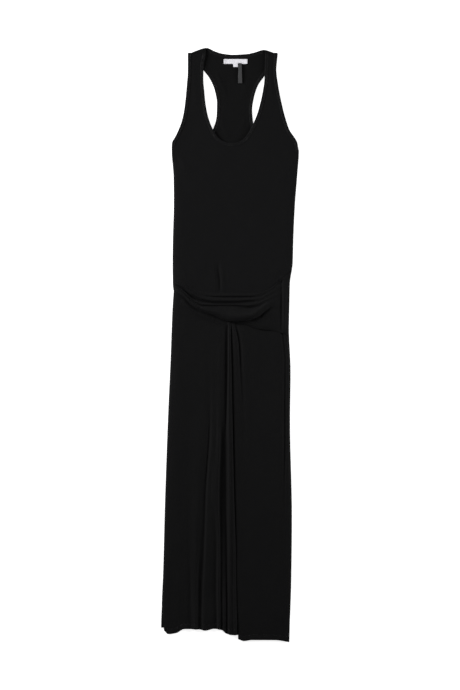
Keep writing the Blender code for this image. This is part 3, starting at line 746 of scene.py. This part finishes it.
UNDERLAP, UNDERLAP_HEIGHT, LAP_EDGE_HEIGHT = 50.0, -1.2, -0.2  # heights are above LEVEL
LAYER_GAP = 0.05
HEM_LIFT = 1.3  # the doubled hems under and over it lift the lap
FRONT_HEM_SLOPE = (13, 16)  # as HEM_SLOPE, for the fronts' own hems
HEM_RIPPLE, RIPPLE_FADES = 0.3, (2, 12)  # it dies away between these heights above the edge
FOLDS_FROM, FOLDS_WHOLE = 686.0, 726.0
HEM_CORNER_FROM, HEM_CORNER_INSET = 1400.0, 9.0
SKIRT_WAVES_WHOLE = 22  # as WAVES_WHOLE
LEFT_STILL, RIGHT_STILL = (-6, -1), (0, 8)  # from the lap's edge: waves die away under it and beside it
SKIRT_ROWS, EDGE_COLUMNS = 170, 8
BESIDE_SEAM, SEAM_COLUMNS = 18, 18  # width of the left front's rolled side, and its columns
LEFT_HEM = [
    Point(-167, 1486),
    Point(-158, 1494),
    Point(-136, 1491),
    Point(-117, 1481),
    Point(-80, 1482),
    Point(-62, 1484.5),
    Point(-41, 1480.5),
    Point(-22, 1483.5),
    Point(-6, 1494),
    Point(13, 1496.5),
    Point(72, 1495),
]
RIGHT_HEM = [
    Point(21, 1507),
    Point(36, 1511.5),
    Point(55, 1509),
    Point(120, 1509.5),
    Point(137, 1512),
    Point(150, LENGTH),
]

# Each fold line runs down the whole skirt: its x and its height above LEVEL at each of these distances
# down the dress, and how many columns lead to it from the line before. Valleys are marked.
SKIRT_LEVELS = (700, 760, 820, 950, 1010, 1150, 1290, 1400, 1464)
LAP_LINE = (2.4, 3.6, 5.0, 7.6, 9.2, 12.4, 16.8, 19.0, 20.8)
Fold = namedtuple("Fold", "columns x height")
LEFT_FOLDS = [
    Fold(8, (-115, -115, -115, -115, -115, -115, -114, -112, -110), (0, 0, 0, 0, 0.1, 0.2, 0.4, 0.9, 1.0)),
    # valley near the left side
    Fold(4, (-106, -106, -106, -106, -106, -106, -104, -102, -101), (0, 0, 0, 0, 0, 0, -0.3, -0.9, 0.1)),
    Fold(4, (-97, -97, -97, -97, -98, -99, -97, -95, -94), (0, 0, 0, 0.1, 0.3, 0.4, 0.9, 1.6, 2.3)),
    Fold(6, (-64, -64, -64, -67, -72, -81, -86, -87, -87), (0, 0, 0.2, 0.8, 1.5, 2.1, 2.8, 3.2, 4.8)),
    Fold(4, (-55, -55, -56, -57.5, -59.5, -69.2, -75, -80.5, -81),
         (0, 0, 0, 0.2, 0.4, -0.2, -1.5, -2.0, 0.8)),
    # valley of the long left pleat
    Fold(4, (-50, -50, -51, -52, -54, -63.2, -68, -74.2, -75), (0, 0, 0, -1.0, -2.1, -2.4, -2.5, -2.5, 0)),
    Fold(5, (-44, -44, -44, -44, -46, -56, -60, -65, -66.4), (0, 0, 0.2, 0.8, 1.2, 1.2, 1.5, 1.8, 4.4)),
    Fold(4, (-39, -39, -39, -39.5, -41.5, -49, -52, -56, -57), (0, 0, 0.2, 0.6, 1.4, 1.8, 1.2, 0.9, 3.4)),
    # short valley
    Fold(5, (-33, -33, -33, -35, -37, -44, -35.8, -36, -34), (0, 0.1, 0.3, 0.8, 1.0, 3.2, -1.8, -2.4, 0.1)),
    Fold(4, (-26, -26, -27, -29, -28.4, -31.5, -28, -29.6, -29),
         (0, 0.4, 0.7, 2.0, 3.4, 4.4, 1.9, 2.0, 4.8)),
    # the middle valley, in two near the hem
    Fold(5, (-14, -14, -15, -17.6, -21.4, -26.4, -23.6, -22.8, -21.8),
         (0.2, 0.3, 0.2, -0.8, -2.0, -2.4, -2.5, -2.5, 0)),
    Fold(4, (-10.4, -10.8, -11.4, -14, -16.4, -16, -15.2, -13.8, -13.6),
         (-0.5, -0.9, -1.0, -1.2, -2.5, -2.5, -1.4, 0.6, 3.8)),
    Fold(4, (-5.8, -5.8, -6.2, -9.2, -11.8, -10.8, -8, -7.6, -7.8),
         (-1.0, -1.6, -1.9, -2.3, -2.5, -2.5, -2.5, -2.5, 0.2)),
    # the ridge: its left flank, its crest in two with a dip between, and its right flank, which leans out
    Fold(5, (-4.2, -4.2, -4.6, -6.4, -7.4, -7, -4.4, -4.2, -4.6),
         (0.6, 0.8, 0.9, 0.4, -0.5, -0.3, 0.1, 0.1, 2.8)),
    Fold(4, (-2.0, -2.2, -2.4, -2.4, -0.6, 0.2, 0.6, 0.6, 0),
         (2.4, 3.1, 3.3, 3.6, 4.2, 4.4, 3.6, 2.6, 5.2)),
    Fold(4, (-0.8, -0.4, 0, 0.8, 2.2, 4, 4.8, 5.2, 7), (2.2, 2.8, 2.9, 3.0, 2.9, 3.0, 1.6, 0.8, 3.0)),
    Fold(4, (0.8, 1.4, 2.0, 3.9, 5.4, 8.2, 11, 11.4, 12.8), (2.4, 3.2, 3.5, 3.6, 3.4, 3.2, 2.8, 2.6, 4.8)),
    Fold(4, (1.6, 2.6, 3.8, 6.0, 7.3, 10.3, 14.2, 15.3, 16.6),
         (1.2, 1.8, 2.0, 1.8, 1.2, 0.8, 0.4, 0.2, 2.2)),
    Fold(4, (2.2, 3.1, 4.3, 6.6, 8.0, 11.3, 15.7, 17.0, 18.4),
         (-0.3, -0.4, -0.4, -0.7, -0.9, -1.0, -1.0, -1.0, 0.3)),
    Fold(3, (4.4, 5.6, 7.0, 9.6, 11.2, 14.4, 18.8, 21.0, 22.8),
         (UNDERLAP_HEIGHT,) * 8 + (UNDERLAP_HEIGHT + HEM_LIFT,)),
]
RIGHT_FOLDS = [
    Fold(4, (5, 8.5, 10.5, 14, 16.5, 19, 23, 24.4, 25.4), (1.4, 1.5, 1.4, 1.3, 1.4, 1.2, 0.9, 0.8, 2.1)),
    # the second ridge, which dies away, and its valley
    Fold(5, (7.4, 16.5, 19.5, 26, 30, 36, 40, 44, 48), (2.8, 2.8, 2.6, 1.6, 1.0, 0.5, 0.5, 0.5, 1.8)),
    Fold(4, (10, 20.6, 23.6, 31, 35, 40, 44, 48, 52), (0.8, 0.4, 0.4, 0.7, 0.6, 0.5, 0.5, 0.5, 1.8)),
    Fold(4, (12.2, 23, 26.4, 35, 39, 43, 47, 51, 55), (-1.7, -1.9, -1.3, 0.1, 0.4, 0.5, 0.5, 0.5, 1.8)),
    Fold(6, (20, 34, 37.5, 45, 49, 53, 57, 61, 65), (1.4, 1.9, 1.6, 0.8, 0.6, 0.5, 0.5, 0.5, 1.8)),
    Fold(4, (56, 58, 60, 63, 64, 67, 71, 73, 75), (0.5,) * 8 + (1.7,)),
    Fold(8, (84, 86, 88, 91, 92, 95, 99, 101, 103), (0,) * 8 + (0.5,)),
    # valley near the right side
    Fold(9, (121, 128, 133, 132, 132, 130, 130, 128, 126), (0.4, 0.8, 1.0, 1.1, 1.1, 0.8, 0.4, 0.1, 0.3)),
    Fold(5, (129.5, 135, 140.4, 139.4, 139.2, 137.5, 137, 136, 134),
         (-1.6, -1.6, -1.4, -1.9, -1.9, -0.8, -0.2, 0, -0.1)),
    Fold(4, (136, 142, 146.5, 146.5, 147, 144.5, 144, 143, 142),
         (1.4, 1.4, 1.4, 1.8, 1.8, 1.0, 0.4, 0.3, 0.4)),
]
SKIRT_CREASES = [
    Crease(-124, 643, -88, 675, 2.8, 5),
    Crease(-94, 672, -38, 694, 2.8, 5),
    Crease(-46, 691, 0, 707, 2.2, 5),
    Crease(-132, 760, -118, 1010, 0.4, 12),
    Crease(-90, 720, -96, 900, 0.3, 10),
    Crease(-70, 712, -72, 830, 0.3, 10),
    Crease(-140, 1040, -126, 1300, 0.4, 10),
    Crease(-128, 1330, -138, 1490, 0.8, 9),
    Crease(58, 820, 66, 872, 0.9, 6),
    Crease(48, 838, 58, 884, -0.6, 6),
    Crease(92, 840, 84, 1120, 0.4, 14),
    Crease(112, 1040, 96, 1330, 0.4, 14),
    Crease(60, 1180, 70, 1460, 0.4, 14),
    Crease(104, 1360, 112, 1506, 0.5, 11),
]


def lines_at(at, places, lines):
    """A table's lines, each two rows of numbers over the same places, read smoothly at other places."""
    return [joined(*[smooth(at, places, values) for values in line[1:]]) for line in lines]


def folded_across(starts, folds, end, between):
    """x and height across each row of a skirt front: smooth lines from edge to edge over the folds, which
    come up gradually below the hip seam."""
    edges = [joined(*line) for line in (*starts, end)]
    knots = np.stack([*edges[:-1], *lines_at(row_levels, SKIRT_LEVELS, folds), edges[-1]], axis=1)
    knots[..., 1] *= ease(row_levels, FOLDS_FROM, FOLDS_WHOLE)[:, None]
    return np.moveaxis(run_through(knots, between), -1, 0)


def skirt_sheet(x, folded, hem, from_side, still):
    """A skirt front: rows from its hem to the hip seam, with its folds and its rolled side, and with soft
    waves and creases where it isn't still. It lies on the layers and hems beneath it."""
    foot, top = hem(x) - HEM_RADIUS, hip_seam(x) + SEAM_GAP / 2
    above = foot[len(HEM_ROWS):] - HEM_ROWS[-1]
    share = np.linspace(0, 1, SKIRT_ROWS + 1)[1:, None]
    down = np.concatenate([
        foot[: len(HEM_ROWS)] - np.array(HEM_ROWS)[:, None],
        above + (top[len(HEM_ROWS):] - above) * share,
    ])
    fine = waved(x, down, FRONT_WAVES) + creased(x, down, SKIRT_CREASES)
    fine += HEM_RIPPLE * np.sin(x / 3.7 + np.sin(x / 11)) * (1 - ease(foot - down, *RIPPLE_FADES))
    loose = ease(from_side, 0, SKIRT_WAVES_WHOLE) * (1 - still)
    back_doubled = 1 - ease(back_hem(x) - down, *HEM_SLOPE)
    doubled = 1 - ease(foot - down, *FRONT_HEM_SLOPE)
    under = 2 * HEM_RADIUS * back_doubled + (2 * HEM_RADIUS - CLOTH) * doubled
    lowest = BACK_TOP_LEVEL + CLOTH + LAYER_GAP + under
    z = np.maximum(LEVEL + folded + rolled(from_side) + fine * loose, lowest) - hem_pressed(foot - down)
    return turned_hem(*laid(x, down, z))


left_hem = column(LEFT_HEM, "x", "down")
right_hem = column(RIGHT_HEM, "x", "down")
waist, hem_top = hip_seam(0.0), LEFT_HEM[-1].down - HEM_ROWS[-1]
row_levels = np.concatenate([
    LEFT_HEM[-1].down - np.array(HEM_ROWS),
    hem_top + (waist - hem_top) * np.linspace(0, 1, SKIRT_ROWS + 1)[1:],
])
lap = smooth(row_levels, SKIRT_LEVELS, LAP_LINE)
lap_lift = HEM_LIFT * ease(row_levels, SKIRT_LEVELS[-2], SKIRT_LEVELS[-1])
# Near the hem the left front's outer edge draws in and bares the back's corner.
left_outer = left_edge(row_levels) + HEM_CORNER_INSET * ease(row_levels, HEM_CORNER_FROM, LENGTH) ** 2
right_outer = right_edge(row_levels)

left_starts = [(left_outer, 0), (left_outer + BESIDE_SEAM, 0)]
left_end = (lap + UNDERLAP, UNDERLAP_HEIGHT + lap_lift)
between = [SEAM_COLUMNS, *(fold.columns for fold in LEFT_FOLDS), EDGE_COLUMNS]
x, folded = folded_across(left_starts, LEFT_FOLDS, left_end, between)
still = ease(x - lap[:, None], *LEFT_STILL)
left_sheet = skirt_sheet(x, folded, left_hem, x - left_outer[:, None], still)
# Its shade of the one jersey is set to how brightly the left skirt is lit: painted light and shade.
left_front = shell("left_front", [left_sheet], CLOTH, jersey("left front jersey", (0.0038, 0.0038, 0.004)))
finish_piece(left_front, "jersey", "front_skirt_left")

between = [*(fold.columns for fold in RIGHT_FOLDS), EDGE_COLUMNS]
x, folded = folded_across([(lap, lap_lift + LAP_EDGE_HEIGHT)], RIGHT_FOLDS, (right_outer, 0), between)
still = 1 - ease(x - lap[:, None], *RIGHT_STILL)
right_sheet = skirt_sheet(x, folded, right_hem, right_outer[:, None] - x, still)
# A darker shade of the one jersey, for the dimmer light on the lower right: painted shade.
right_jersey = jersey("right front jersey", (0.0036, 0.0036, 0.0038))
right_front = shell("right_front", [right_sheet], CLOTH, right_jersey)
finish_piece(right_front, "jersey", "front_skirt_right")

# --- Drape --------------------------------------------------------------------------------------------
# The drape is a width of jersey gathered into both side seams. It lies across the hips in soft rolls
# that narrow to the left seam and open out towards the right one, and the deepest leans over the skirt.

CLEARANCE = 0.3
# Over the underlap the right front lies this much above LEVEL, and beyond it comes down between these.
LAP_HEIGHT, CARRIED_FROM, CARRIED_TO = 0.5, 5.0, 30.0
# Each line of the drape runs from the left side seam to the right one: how far down it lies and its
# height above what is beneath, at each of these x, and how many rows lead to it from the line before.
DRAPE_PLACES = (-142.8, -117, -94.4, -68, -36, 5, 46, 71, 90, 103, 124, 150.5)
Line = namedtuple("Line", "rows down height")
DRAPE_LINES = [
    Line(0, (591.6, 600, 613, 623, 626, 626, 626, 624, 616, 609, 591, 568.7), (0,) * 12),
    Line(
        4,
        (593, 602, 616, 628, 631.6, 631.6, 631.6, 628, 618.5, 611.5, 594, 572),
        (1.0, 1.2, 1.2, 1.1, 2.2, 2.4, 2.2, 1.2, 1.0, 0.8, 0.6, 0.4),
    ),
    Line(  # first valley, short, in the middle
        4,
        (595, 605, 619.5, 632, 635.6, 636, 636, 634, 625, 618, 602, 582),
        (0.8, 1.1, 1.2, 0.8, -0.8, -0.9, -0.8, 0.5, 0.6, 0.6, 0.4, 0.3),
    ),
    Line(
        4,
        (597, 608, 625, 638, 643, 643.5, 641.5, 640, 631, 624, 609, 590),
        (2.2, 4.2, 5.6, 5.6, 5.2, 5.0, 4.4, 2.4, 1.7, 1.2, 0.8, 0.5),
    ),
    Line(  # second valley, the long one
        4,
        (600.5, 615, 635.6, 648.5, 652, 651.5, 648, 646, 637, 630, 616, 599),
        (0.1, -0.8, -1.0, -1.0, 0.0, -0.2, -0.3, 0.9, 0.9, 0.8, 0.5, 0.3),
    ),
    Line(
        4,
        (604, 619.5, 641, 653.5, 655, 654.5, 655.5, 651, 642, 636, 625, 608),
        (2.6, 3.8, 4.6, 4.6, 2.0, 2.0, 4.6, 2.8, 2.2, 1.6, 0.9, 0.5),
    ),
    Line(  # third valley
        4,
        (607.5, 623.5, 645, 658.5, 658, 657.8, 663, 658.5, 648.5, 642, 634, 620),
        (1.6, 2.6, 3.4, 1.8, -0.2, -0.2, -0.2, 1.0, 1.2, 1.0, 0.6, 0.3),
    ),
    Line(  # the great roll: its crest, the lip that leans out, and the hollow under it
        9,
        (611, 627, 650, 665, 673, 684, 683, 671, 657, 651, 645, 632),
        (3.4, 5.0, 6.4, 7.8, 9.2, 11.0, 11.6, 10.4, 6.2, 1.8, 0.8, 0.5),
    ),
    Line(
        9,
        (616, 633.6, 656, 671.5, 684, 698, 694, 686, 671, 660, 656, 644),
        (2.0, 3.2, 4.0, 4.6, 5.2, 5.8, 6.0, 5.4, 3.4, 1.0, 0.5, 0.3),
    ),
    Line(
        6,
        (615, 632.6, 654, 669, 681, 694.6, 690, 682.5, 669.5, 664, 666, 656),
        (0.4, 0.4, 0.4, 0.3, 0.3, 0.3, 0.1, -0.1, -0.1, 0.2, 0.3, 0.2),
    ),
    Line(  # the slack below it, and the foot
        6,
        (617, 634.4, 657, 672, 684.6, 697.8, 698, 693, 684, 677, 682, 674),
        (0.3, 0.3, 0.3, 0.3, 0.4, 0.5, 1.8, 3.2, 3.8, 2.8, 1.3, 0.5),
    ),
    Line(
        6,
        (617.4, 635, 657.6, 672.6, 685.6, 699, 703, 709, 711, 711, 708, 702),
        (0.2, 0.2, 0.2, 0.2, 0.3, 0.4, 1.0, 2.1, 2.4, 1.5, 0.5, 0.1),
    ),
    Line(
        5,
        (617.8, 635.6, 658.2, 673.2, 686.6, 700.2, 706.4, 716, 719, 720, 724, 734.4),
        (0, 0, 0, 0, 0, 0, 0, 0, -0.2, -0.7, -1.1, -1.1),
    ),
]
PINNED_SHARE, PINNED_WIDTH = 0.35, 14.0
DRAPE_COLUMNS = 150
DRAPE_WAVES = [
    Wave(38, 96, 0.22, 0.6),
    Wave(71, 60, 0.25, 2.2),
    Wave(29, 78, 0.12, 4.1),
    Wave(24, 15, 0.08, 1.0),
]
DRAPE_CREASES = [
    Crease(108, 612, 136, 590, -0.8, 4.5),
    Crease(131, 580, 129.8, 745, -2.6, 4.0),
    Crease(139, 586, 139, 745, 1.8, 4.5),
    Crease(46, 694, 66, 699, -0.9, 3.0),
    Crease(104, 690, 126, 672, 0.5, 7.0),
    Crease(-64, 660, -42, 656, 0.7, 4.0),
    Crease(-14, 676, 2, 674, -0.6, 5.0),
]


def front_top(x, down):
    """Top of whatever lies under the drape here: the bodice, or a skirt front with its ridges just
    coming up."""
    carried = LAP_HEIGHT * ease(x - LAP_LINE[0], -1, 1)
    carried = carried * (1 - ease(x - LAP_LINE[0] - UNDERLAP, CARRIED_FROM, CARRIED_TO))
    ridges = [(fold.x[0], fold.height[0]) for fold in LEFT_FOLDS[:-1] + RIGHT_FOLDS[:5]]
    ridges = np.array(sorted(ridges))
    ridge = np.interp(x, ridges[:, 0], ridges[:, 1]) * ease(down, FOLDS_FROM, FOLDS_WHOLE)
    skirt = LEVEL + rolled(from_seams(x, down)) + np.maximum(carried, ridge)
    return np.where(down < hip_seam(x), bodice_plain(x, down), skirt)


across = 0.5 - 0.5 * np.cos(np.pi * np.linspace(0, 1, DRAPE_COLUMNS))
across = 0.35 * across + 0.65 * np.linspace(0, 1, DRAPE_COLUMNS)
station = DRAPE_PLACES[0] + across * (DRAPE_PLACES[-1] - DRAPE_PLACES[0])
drape_knots = np.stack(lines_at(station, DRAPE_PLACES, DRAPE_LINES), axis=1)
down, raised = run_through(drape_knots, [line.rows for line in DRAPE_LINES[1:]]).T
first, last = left_edge(down[:, :1]), right_edge(down[:, -1:])
x = first + across * (last - first)
from_side = np.minimum(x - first, last - x)
reach = 1 + 7 * ease(from_side, 0, 40)
shifts = [(0, 0), (-1, 0), (1, 0), (0, -1), (0, 1)]
below = np.max([front_top(x + i * reach, down + j * reach) for i, j in shifts], axis=0)
pinned = PINNED_SHARE + (1 - PINNED_SHARE) * ease(from_side, 0, PINNED_WIDTH)
loose = ease(from_side, 0, 12) * ease(down, drape_knots[:, 0, 0], drape_knots[:, 0, 0] + 6)
loose = loose * (1 - ease(down, drape_knots[:, -1, 0] - 6, drape_knots[:, -1, 0]))
fine = (waved(x, down, DRAPE_WAVES) + creased(x, down, DRAPE_CREASES)) * loose
z = below + CLEARANCE + CLOTH + raised * pinned + fine
girth = lengths(joined(down, z))
drape_sheet = place(x, down, z)[::-1], joined(x, -girth)[::-1]

# Its shade of the one jersey is set to how brightly the hips are lit: painted light and shade.
drape = shell("drape", [drape_sheet], CLOTH, jersey("drape jersey", (0.0037, 0.0037, 0.0039)))
finish_piece(drape, "jersey", "hip_drape")

# --- Bindings -----------------------------------------------------------------------------------------
# Strips of the same jersey are folded round the edges of the neck and the armholes and sewn down with
# twin needles, which leave two fine furrows along each strip.

Profile = namedtuple("Profile", "inward height")
BINDING_PROFILE = [
    Profile(8.3, -0.05),
    Profile(8.2, 0.25),
    Profile(7.8, 0.55),
    Profile(7.1, 0.70),
    Profile(6.6, 0.50),
    Profile(6.1, 0.74),
    Profile(5.3, 0.90),
    Profile(4.6, 0.78),
    Profile(4.2, 0.56),
    Profile(3.8, 0.80),
    Profile(2.8, 1.02),
    Profile(1.6, 1.04),
    Profile(0.6, 0.84),
    Profile(-0.1, 0.42),
    Profile(-0.4, -0.10),
    Profile(-0.3, -0.60),
]
UNDER_PROFILE = [Profile(0.1, -1.10), Profile(0.9, -1.45), Profile(2.4, -1.55), Profile(4.2, -1.55)]
FURROWS = [Profile(6.6, 0.50), Profile(4.2, 0.56)]
BINDING_WALL = 0.6
BINDING_STEP = 3.0
STITCH_PITCH, STITCH_LENGTH, STITCH_RISE, THREAD = 2.8, 2.1, 0.05, 0.17
THREAD_LOOK = {"Specular IOR Level": 0.3}


def back_level(x, down):
    """Top of the back where its edges are bound."""
    return np.full(np.broadcast(x, down).shape, BACK_TOP_LEVEL)


def read_at(points, reach, at):
    """Points of a line at these distances along it, in straight runs."""
    return joined(*[np.interp(at, reach, values) for values in points.T])


def strip_frame(edge, inward):
    """The edge at even steps, and the direction inward at each. Inward is the side the panel is on."""
    reach = lengths(edge)
    even = np.linspace(0, reach[-1], int(reach[-1] / BINDING_STEP) + 1)
    edge = read_at(edge, reach, even)
    run = unit(np.gradient(edge, axis=0))
    return edge, inward * joined(-run[:, 1], run[:, 0]), even


def bind(name, edge, inward, profile, level, node_name):
    """A binding: the profile carried along the edge, with a faint pucker between stitches, and its two
    rows of stitches."""
    edge, toward, even = strip_frame(edge, inward)
    reach, height = np.array(profile).T
    x, down = [edge[:, i, None] + toward[:, i, None] * reach for i in (0, 1)]
    pucker = 0.07 * np.sin(even[:, None] / 1.9 + np.sin(even[:, None] / 13)) * ease(height, 0.2, 0.9)
    sheet = place(x, down, level(x, down) + height + pucker)
    girth = lengths(np.array(profile))
    cut = joined(girth, even[:, None])
    if np.cross(sheet[0, 0] - sheet[0, 8], sheet[1, 0] - sheet[0, 0])[2] > 0:
        sheet, cut = sheet[:, ::-1], cut[:, ::-1]
    piece = shell(name, [(sheet, cut)], BINDING_WALL, binding_jersey)
    finish_piece(piece, "binding", node_name)
    runs = []
    for furrow in FURROWS:
        x, down = [edge[:, i] + toward[:, i] * furrow.inward for i in (0, 1)]
        runs.append(place(x, down, level(x, down) + furrow.height + STITCH_RISE))
    finish_piece(stitches(name + "_stitches", runs, black_thread), "binding")


def stitches(name, runs, material):
    """Rows of short stitches, one thread thick. Each is five square rings, thin at both ends, that arch
    over the cloth and dip into it at the ends."""
    ring = np.array([(-1, -1), (1, -1), (1, 1), (-1, 1)]) * 0.8
    reach = np.linspace(-0.5, 0.5, 5)
    plump = np.array([0.35, 0.9, 1.0, 0.9, 0.35])
    arch = np.array([-1.2, 0.1, 0.45, 0.1, -1.2])
    offset = np.zeros((5, 4, 3))
    offset[..., 0] = (reach * STITCH_LENGTH)[:, None]
    offset[..., 1] = plump[:, None] * ring[:, 0] * THREAD
    offset[..., 2] = (plump[:, None] * ring[:, 1] + arch[:, None]) * THREAD
    offset = offset.reshape(-1, 3)
    index = np.arange(20).reshape(5, 4)
    right = np.roll(index, -1, axis=1)
    tube = np.stack([index[:-1], right[:-1], right[1:], index[1:]], axis=-1).reshape(-1, 4)
    one = np.concatenate([tube, index[:1, ::-1], index[-1:]])
    points = []
    for run in runs:
        length = lengths(run)
        at = np.arange(STITCH_PITCH / 2, length[-1], STITCH_PITCH)
        ahead = unit(read_at(run, length, at + 0.5) - read_at(run, length, at - 0.5))
        side = unit(np.cross((0, 0, 1.0), ahead))
        turned = np.stack([ahead, side, np.cross(ahead, side)], axis=1)
        points.append((read_at(run, length, at)[:, None] + offset @ turned).reshape(-1, 3))
    points = np.concatenate(points)
    count = len(points) // 20
    quads = (one[None] + 20 * np.arange(count)[:, None, None]).reshape(-1, 4)
    return quad_mesh(name, points, quads, points[:, :2], material)


# Lighter than the jersey it is cut from, for the brighter rims along the bound edges: painted sheen.
binding_jersey = jersey("binding jersey", (0.0043, 0.0043, 0.0046), roughness=0.75, sheen=0.11)
black_thread = mottled("black thread", (0.008, 0.008, 0.009), 0.5, THREAD_LOOK)
whole_profile, flat_profile = BINDING_PROFILE + UNDER_PROFILE, BINDING_PROFILE
racer_bound = np.linspace(0.02, 0.985, 90)
neck_x = np.linspace(NECKLINE[0].left + 4, NECKLINE[0].right - 6, 60)
back_neck = np.stack([neck_x, back_top(neck_x)], axis=-1)

bind("back_neck_binding", back_neck, 1, flat_profile, back_level, "neck_binding_back")
bind("racer_binding_left", along(RACER_LEFT, racer_bound), -1, flat_profile, back_level,
     "armhole_binding_back_left")
bind("racer_binding_right", along(RACER_RIGHT, racer_bound), 1, flat_profile, back_level,
     "armhole_binding_back_right")
bind("front_neck_binding", neckline(np.linspace(0, 1, 200)), 1, whole_profile, bodice_top,
     "neck_binding_front")
bind("armhole_binding_left", front_armhole("left", UNDERARM_LEFT, 90), 1, whole_profile, bodice_top,
     "armhole_binding_front_left")
bind("armhole_binding_right", front_armhole("right", UNDERARM_RIGHT, 90), -1, whole_profile, bodice_top,
     "armhole_binding_front_right")

# --- Hem sewing ---------------------------------------------------------------------------------------
# Twin needles sew each hem down from the outside: two rows of short black stitches.

hem_sewing = []
for sheet, _ in (left_sheet, right_sheet):
    rows = sheet[-(SKIRT_ROWS + len(HEM_ROWS)):]
    hem_sewing += [rows[HEM_ROWS.index(stitched)] + (0, 0, STITCH_RISE) for stitched in HEM_STITCHES]
finish_piece(stitches("hem_stitches", hem_sewing, black_thread), "jersey")

# --- Label --------------------------------------------------------------------------------------------
# A blank white woven label with turned-in ends is sewn under the back neck binding. A folded tab hangs
# from its foot, and beside the tab a narrow loop of dark satin ribbon for the hanger.

LABEL_LEFT, LABEL_RIGHT, LABEL_TOP, LABEL_FOOT = -15.8, 44.1, 28.6, 40.5
TAB_LEFT, TAB_RIGHT, TAB_FOOT = 8.2, 20.4, 48.7
RIBBON_LEFT, RIBBON_RIGHT, RIBBON_FOOT = 20.7, 30.9, 90.0
LABEL_WALL, STRIP_WALL = 0.35, 0.3

weave, given, gives = group(
    "ribbed weave",
    [("Cut", "Vector", None), ("Rib", "Float", 0.00045), ("Yarn", "Float", 0.0003)],
    [("Height", "Float")],
)
axes = weave.nodes.new("ShaderNodeSeparateXYZ")
weave.links.new(given["Cut"], axes.inputs[0])
repeats = [
    math(weave, "DIVIDE", axes.outputs[axis], given[side]) for axis, side in (("Y", "Rib"), ("X", "Yarn"))
]
rib, yarn = [math(weave, "SINE", math(weave, "MULTIPLY", repeat, 2 * np.pi)) for repeat in repeats]
weave.links.new(math(weave, "MULTIPLY_ADD", rib, 0.5, math(weave, "MULTIPLY", yarn, 0.25)), gives["Height"])


def woven(name, colour, roughness, specular, sheen):
    """Woven tape or ribbon, with fine ribs."""
    look = {"Specular IOR Level": specular, "Sheen Weight": sheen}
    return embossed(mottled(name, colour, roughness, look), weave, strength=0.4, depth=0.0001)


white_tape = woven("white woven tape", (0.87, 0.86, 0.91), 0.6, 0.3, 0.1)
white_thread = mottled("white thread", (0.7, 0.7, 0.72), 0.5, THREAD_LOOK)

label_level = BACK_TOP_LEVEL + 0.75
x = np.linspace(LABEL_LEFT, LABEL_RIGHT, 80)[None]
down = np.linspace(LABEL_FOOT, LABEL_TOP, 16)[:, None]
ends = np.minimum(x - LABEL_LEFT, LABEL_RIGHT - x)
z = label_level + 0.35 * (1 - ease(ends, 3.5, 5.0)) + 0.12 * np.sin(x / 5.3) + 0.1 * np.sin(down / 2.6)
label = shell("label", [laid(x, down, z)], LABEL_WALL, white_tape)
finish_piece(label, "label", "neck_label")

seam_down = np.linspace(LABEL_FOOT - 0.8, LABEL_TOP + 0.8, 12)
label_ends = [place(end, seam_down, label_level + 0.45) for end in (LABEL_LEFT + 2.0, LABEL_RIGHT - 2.0)]
finish_piece(stitches("label_stitches", label_ends, white_thread), "label")


def folded_strip(name, left, right, top, foot, low, high, wall, material, flare=0.0, bow=0.0):
    """A strip folded at its foot: down from the label to the foot underneath, half a circle round it, and
    back up on top. Towards the label it narrows by the share flare, and its upper run bows up."""
    radius = (high - low) / 2
    turn = np.radians(np.linspace(-90, 90, 13))[1:-1]
    run = np.linspace(0, 1, 26)
    straight = top + run * (foot - radius - top)
    down = np.concatenate([straight, straight[-1] + radius * np.cos(turn), straight[::-1]])
    up_top = high + bow * np.sin(np.pi * run[::-1])
    z = np.concatenate([np.full(26, low), low + radius + radius * np.sin(turn), up_top])
    share = (down - top) / (foot - top)
    width = np.linspace(0, 1, 13)[None]
    middle, half_width = (left + right) / 2, (right - left) / 2 * (1 + flare * (share - 1))
    x = middle + (width * 2 - 1) * half_width[:, None]
    girth = lengths(joined(down, z))
    sheet = place(x, down[:, None], z[:, None]), joined(x, girth[:, None])
    return shell(name, [sheet], wall, material), girth[-1]


tab, tab_length = folded_strip(
    "tab", TAB_LEFT, TAB_RIGHT, LABEL_FOOT - 1.5, TAB_FOOT, 1.35, 2.1, STRIP_WALL, white_tape
)
finish_piece(tab, "label", "size_tab")

satin = woven("dark satin ribbon", (0.045, 0.045, 0.047), 0.32, 0.5, 0.2)
loop, loop_length = folded_strip(
    "ribbon_loop", RIBBON_LEFT, RIBBON_RIGHT, LABEL_FOOT - 1.5, RIBBON_FOOT, 1.35, 3.3, STRIP_WALL, satin,
    flare=0.3, bow=0.8,
)
finish_piece(loop, "ribbon", "hanger_loop")
